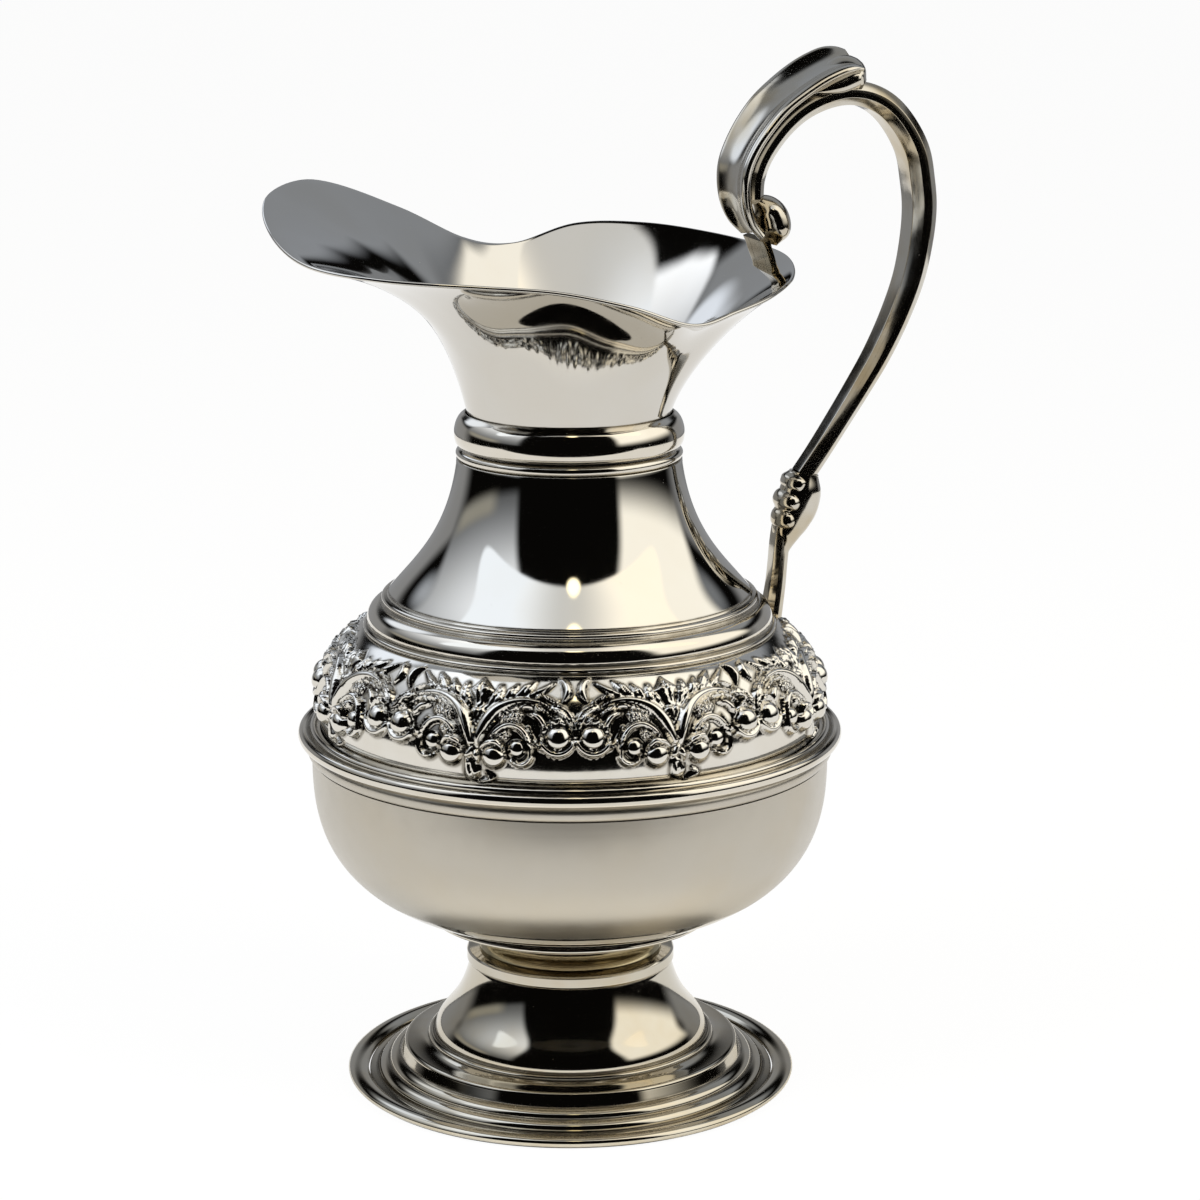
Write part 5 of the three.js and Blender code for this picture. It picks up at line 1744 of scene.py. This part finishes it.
    def shine(self, tree: bpy.types.NodeTree, azimuth: Feed, elevation: Feed, light: Light,
              below: Feed) -> bpy.types.Node:
        """Adds one light to the room.

        Args:
            tree: the room's node tree.
            azimuth: the direction's azimuth in radians.
            elevation: the direction's elevation in radians.
            light: the light to add.
            below: the glow of the room so far.

        Returns:
            The glow with this light in it.
        """
        steps = []
        for angle, middle, size, blur in (
            (azimuth, light.azimuth, light.width, light.edge), (elevation, light.elevation, light.height, light.fade),
        ):
            away = add(tree, "ShaderNodeMath", {"operation": "SUBTRACT"}, {0: angle, 1: math.radians(middle)})
            wrapped = add(tree, "ShaderNodeMath", {"operation": "WRAP"}, {0: away, 1: math.pi, 2: -math.pi})
            gap = add(tree, "ShaderNodeMath", {"operation": "ABSOLUTE"}, {0: wrapped})
            half, soft = math.radians(size / 2), math.radians(blur)
            steps.append(add(tree, "ShaderNodeMapRange", {"interpolation_type": "SMOOTHSTEP"}, {
                "Value": gap, "From Min": half - soft / 2, "From Max": half + soft / 2,
                "To Min": 1.0, "To Max": 0.0}))
        inside = add(tree, "ShaderNodeMath", {"operation": "MULTIPLY"}, dict(enumerate(steps)))
        rise = add(tree, "ShaderNodeMapRange", None, {
            "Value": elevation, "From Min": math.radians(light.elevation - light.height / 2),
            "From Max": math.radians(light.elevation + light.height / 2)})
        late = add(tree, "ShaderNodeMath", {"operation": "POWER"}, {0: rise, 1: light.bend})
        level = add(tree, "ShaderNodeMath", {"operation": "MULTIPLY_ADD"}, {
            0: late, 1: light.level * (1 - light.low), 2: light.level * light.low})
        panel = add(tree, "ShaderNodeEmission", None, {"Color": linear(light.colour), "Strength": level})
        return add(tree, "ShaderNodeMixShader", None, {0: inside, 1: below, 2: panel})

    def dome(self, columns: int = 72, rows: int = 20) -> bpy.types.Object:
        """Builds the half sphere that stands for the room round the table.

        Args:
            columns: how many faces there are round it.
            rows: how many there are from the floor to its top.

        Returns:
            The room's object.
        """
        points, faces = [], []
        for row in range(rows):
            up = math.pi / 2 * row / rows
            flat, here = math.cos(up) * self.room_radius, row * columns
            for column in range(columns):
                turn, after = 2 * math.pi * column / columns, (column + 1) % columns
                points.append((flat * math.cos(turn), flat * math.sin(turn), math.sin(up) * self.room_radius))
                above = (here + columns + column, here + columns + after) if row < rows - 1 else (rows * columns,)
                faces.append((here + after, here + column, *above))
        points.append((0.0, 0.0, self.room_radius))
        room = self.stand("studio_room", points, faces, self.room())
        room.data.shade_smooth()
        room.location = (self.axis.x, self.axis.y, 0.0)
        return room

    def cloth(self, card: Card) -> bpy.types.Material:
        """Returns a card's glowing cloth, cool at its left end, warm at its right end and dimmer between."""
        material, tree = blank(f"{card.name}_cloth")
        place = add(tree, "ShaderNodeTexCoord")
        flat = add(tree, "ShaderNodeVectorMath", {"operation": "DIVIDE"}, {
            0: place.outputs["Object"], 1: (*card.reach, 1.0)})
        side = add(tree, "ShaderNodeSeparateXYZ", None, {"Vector": flat}).outputs["X"]
        reach = add(tree, "ShaderNodeVectorMath", {"operation": "LENGTH"}, {0: flat})
        away = add(tree, "ShaderNodeMath", {"operation": "ABSOLUTE"}, {0: side})
        level = add(tree, "ShaderNodeMapRange", {"interpolation_type": "SMOOTHSTEP"}, {
            "Value": away, "From Min": 0.02, "From Max": 0.3,
            "To Min": card.level * card.middle, "To Max": card.level})
        hue = add(tree, "ShaderNodeMapRange", None, {"Value": side, "From Min": -0.3, "From Max": 0.3})
        colour = add(tree, "ShaderNodeMix", {"data_type": "RGBA"}, {
            "Factor": hue, 6: linear(card.left), 7: linear(card.right)})
        glow = add(tree, "ShaderNodeEmission", None, {"Color": colour.outputs[2], "Strength": level})
        solid = add(tree, "ShaderNodeMapRange", {"interpolation_type": "SMOOTHSTEP"}, {
            "Value": reach.outputs["Value"], "From Min": 1.0 - card.edge, "From Max": 1.0,
            "To Min": 1.0, "To Max": 0.0})
        both = add(tree, "ShaderNodeMixShader", None, {
            0: solid, 1: add(tree, "ShaderNodeBsdfTransparent"), 2: glow})
        add(tree, "ShaderNodeOutputMaterial", None, {"Surface": both})
        return material

    def card(self, card: Card, edge: int = 72) -> bpy.types.Object:
        """Hangs one glowing cloth.

        Args:
            card: the cloth.
            edge: how many sides its outline has.

        Returns:
            The cloth's object.
        """
        ring = [2 * math.pi * index / edge for index in range(edge)]
        points = [(0.0, 0.0, 0.0), *((card.reach[0] * math.cos(a), card.reach[1] * math.sin(a), 0.0) for a in ring)]
        faces = [(0, (index + 1) % edge + 1, index + 1) for index in range(edge)]
        piece = self.stand(card.name, points, faces, self.cloth(card))
        turn = Matrix.Rotation(math.radians(self.camera_azimuth + 90), 3, "Z")
        piece.location = turn @ Vector(card.place) + self.axis
        look = Vector(card.facing) - Vector(card.place)
        tilt = Matrix.Identity(3) if look.xy.length < TINY else look.to_track_quat("Z", "Y").to_matrix()
        piece.rotation_euler = (turn @ tilt).to_euler()
        return piece

    def dark_floor(self) -> bpy.types.Object:
        """Builds the dark floor in front of the table's edge, out of the picture, that the metal still sees. It is no
        lamp, but glows faintly as painted light for the dim light it would return.
        """
        toward, across = self.level()
        near, far, half = self.table_front, self.room_radius, self.room_radius * 1.2
        corners = [tuple(toward * reach + across * side)
                   for reach, side in ((near, -half), (near, half), (far, half), (far, -half))]
        material, tree = blank("dark_painted_floor")
        place = add(tree, "ShaderNodeTexCoord")
        # Painted light: the glow, patchy as a worn floor, stands for the dim light it would reflect
        patchy_glow = add(tree, "ShaderNodeTexNoise", None, {"Vector": place.outputs["Object"], "Scale": 6.0, "Detail": 3.0})
        level = add(tree, "ShaderNodeMapRange", None, {"Value": patchy_glow, "To Min": 0.004, "To Max": 0.02})
        glow = add(tree, "ShaderNodeEmission", None, {"Color": linear(STAGE_GREY), "Strength": level})
        add(tree, "ShaderNodeOutputMaterial", None, {"Surface": glow})
        floor = self.stand("floor_before_table", corners, [(0, 1, 2, 3)], material)
        floor.location = (self.axis.x, self.axis.y, self.floor_height)
        return floor

    def lamp(self, name: str, turn: float, colour: str) -> None:
        """Hangs one area lamp that lights only what isn't metal.

        Args:
            name: its name.
            turn: where it hangs, in degrees from the camera.
            colour: its colour.
        """
        lamp = bpy.data.lights.new(name, "AREA")
        lamp.shape, lamp.size, lamp.energy = "SQUARE", self.lamp_size, self.lamp_power
        lamp.color = linear(colour)[:3]
        holder = bpy.data.objects.new(name, lamp)
        holder.location = self.place(turn, self.lamp_distance, self.lamp_height)
        aim = Vector((self.axis.x, self.axis.y, self.lamp_aim)) - holder.location
        holder.rotation_euler = aim.to_track_quat("-Z", "Y").to_euler()
        holder.visible_camera = False
        holder.visible_glossy = False
        bpy.context.scene.collection.objects.link(holder)

    def world(self) -> bpy.types.World:
        """Returns the world, white behind the table and a soft grey light on what isn't metal."""
        world = bpy.data.worlds.new("studio_white")
        world.use_nodes = True
        tree = world.node_tree
        tree.nodes.clear()
        _, shown = plainly_seen(tree)
        ambient = add(tree, "ShaderNodeBackground", None, {"Color": linear("#F4F4F2"), "Strength": 0.6})
        white = add(tree, "ShaderNodeBackground", None, {"Color": linear("#FFFFFF"), "Strength": 1.0})
        both = add(tree, "ShaderNodeMixShader", None, {0: shown, 1: ambient, 2: white})
        add(tree, "ShaderNodeOutputWorld", None, {"Surface": both})
        return world

    def camera(self) -> bpy.types.Object:
        """Returns the camera where the photo was taken from, linked to the scene."""
        lens = bpy.data.cameras.new("photo_camera")
        lens.lens, lens.sensor_width, lens.sensor_fit = self.lens, 36.0, "HORIZONTAL"
        lens.clip_start, lens.clip_end = 0.05, 60.0
        camera = bpy.data.objects.new("photo_camera", lens)
        camera.location = self.place(0.0, self.camera_distance * MM, self.camera_height * MM)
        camera.rotation_euler = (
            math.radians(self.camera_tilt), 0.0, math.radians(self.camera_azimuth + 90 + self.camera_turn))
        bpy.context.scene.collection.objects.link(camera)
        return camera

    def build(self, edge: int = 96) -> None:
        """Builds the table, the room, the lamps and the camera.

        Args:
            edge: how many sides the round table has.
        """
        turns = [2 * math.pi * index / edge for index in range(edge)]
        ring = [(self.table_radius * math.cos(turn), self.table_radius * math.sin(turn), 0.0) for turn in turns]
        table = self.stand("table", ring, [tuple(range(edge))], self.paper())
        table.location.z = -self.table_depth
        for piece in (self.dome(), *(self.card(card) for card in self.cards), self.dark_floor()):
            piece.data.materials[0].cycles.emission_sampling = "NONE"
            piece.visible_camera = False
            piece.visible_diffuse = False
            piece.visible_shadow = False
        for lamp in self.lamps:
            self.lamp(*lamp)
        scene = bpy.context.scene
        scene.world = self.world()
        scene.camera = self.camera()
        scene.view_settings.view_transform = "Standard"


def main() -> None:
    logging.basicConfig(level=logging.INFO, format="%(name)s %(message)s")
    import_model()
    low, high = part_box("foot_rim")
    axis = Vector(((low.x + high.x) / 2, (low.y + high.y) / 2, 0.0))
    bench = Bench(axis)
    finish = Finishes(axis).build()
    Studio(axis).build()
    for part in (Foot(), Bowl(), Shoulder(), Neck(), Mouth(), Handle()):
        log.info("building %s", type(part).__name__.lower())
        part.build(bench, finish)


if __name__ == "__main__":
    main()
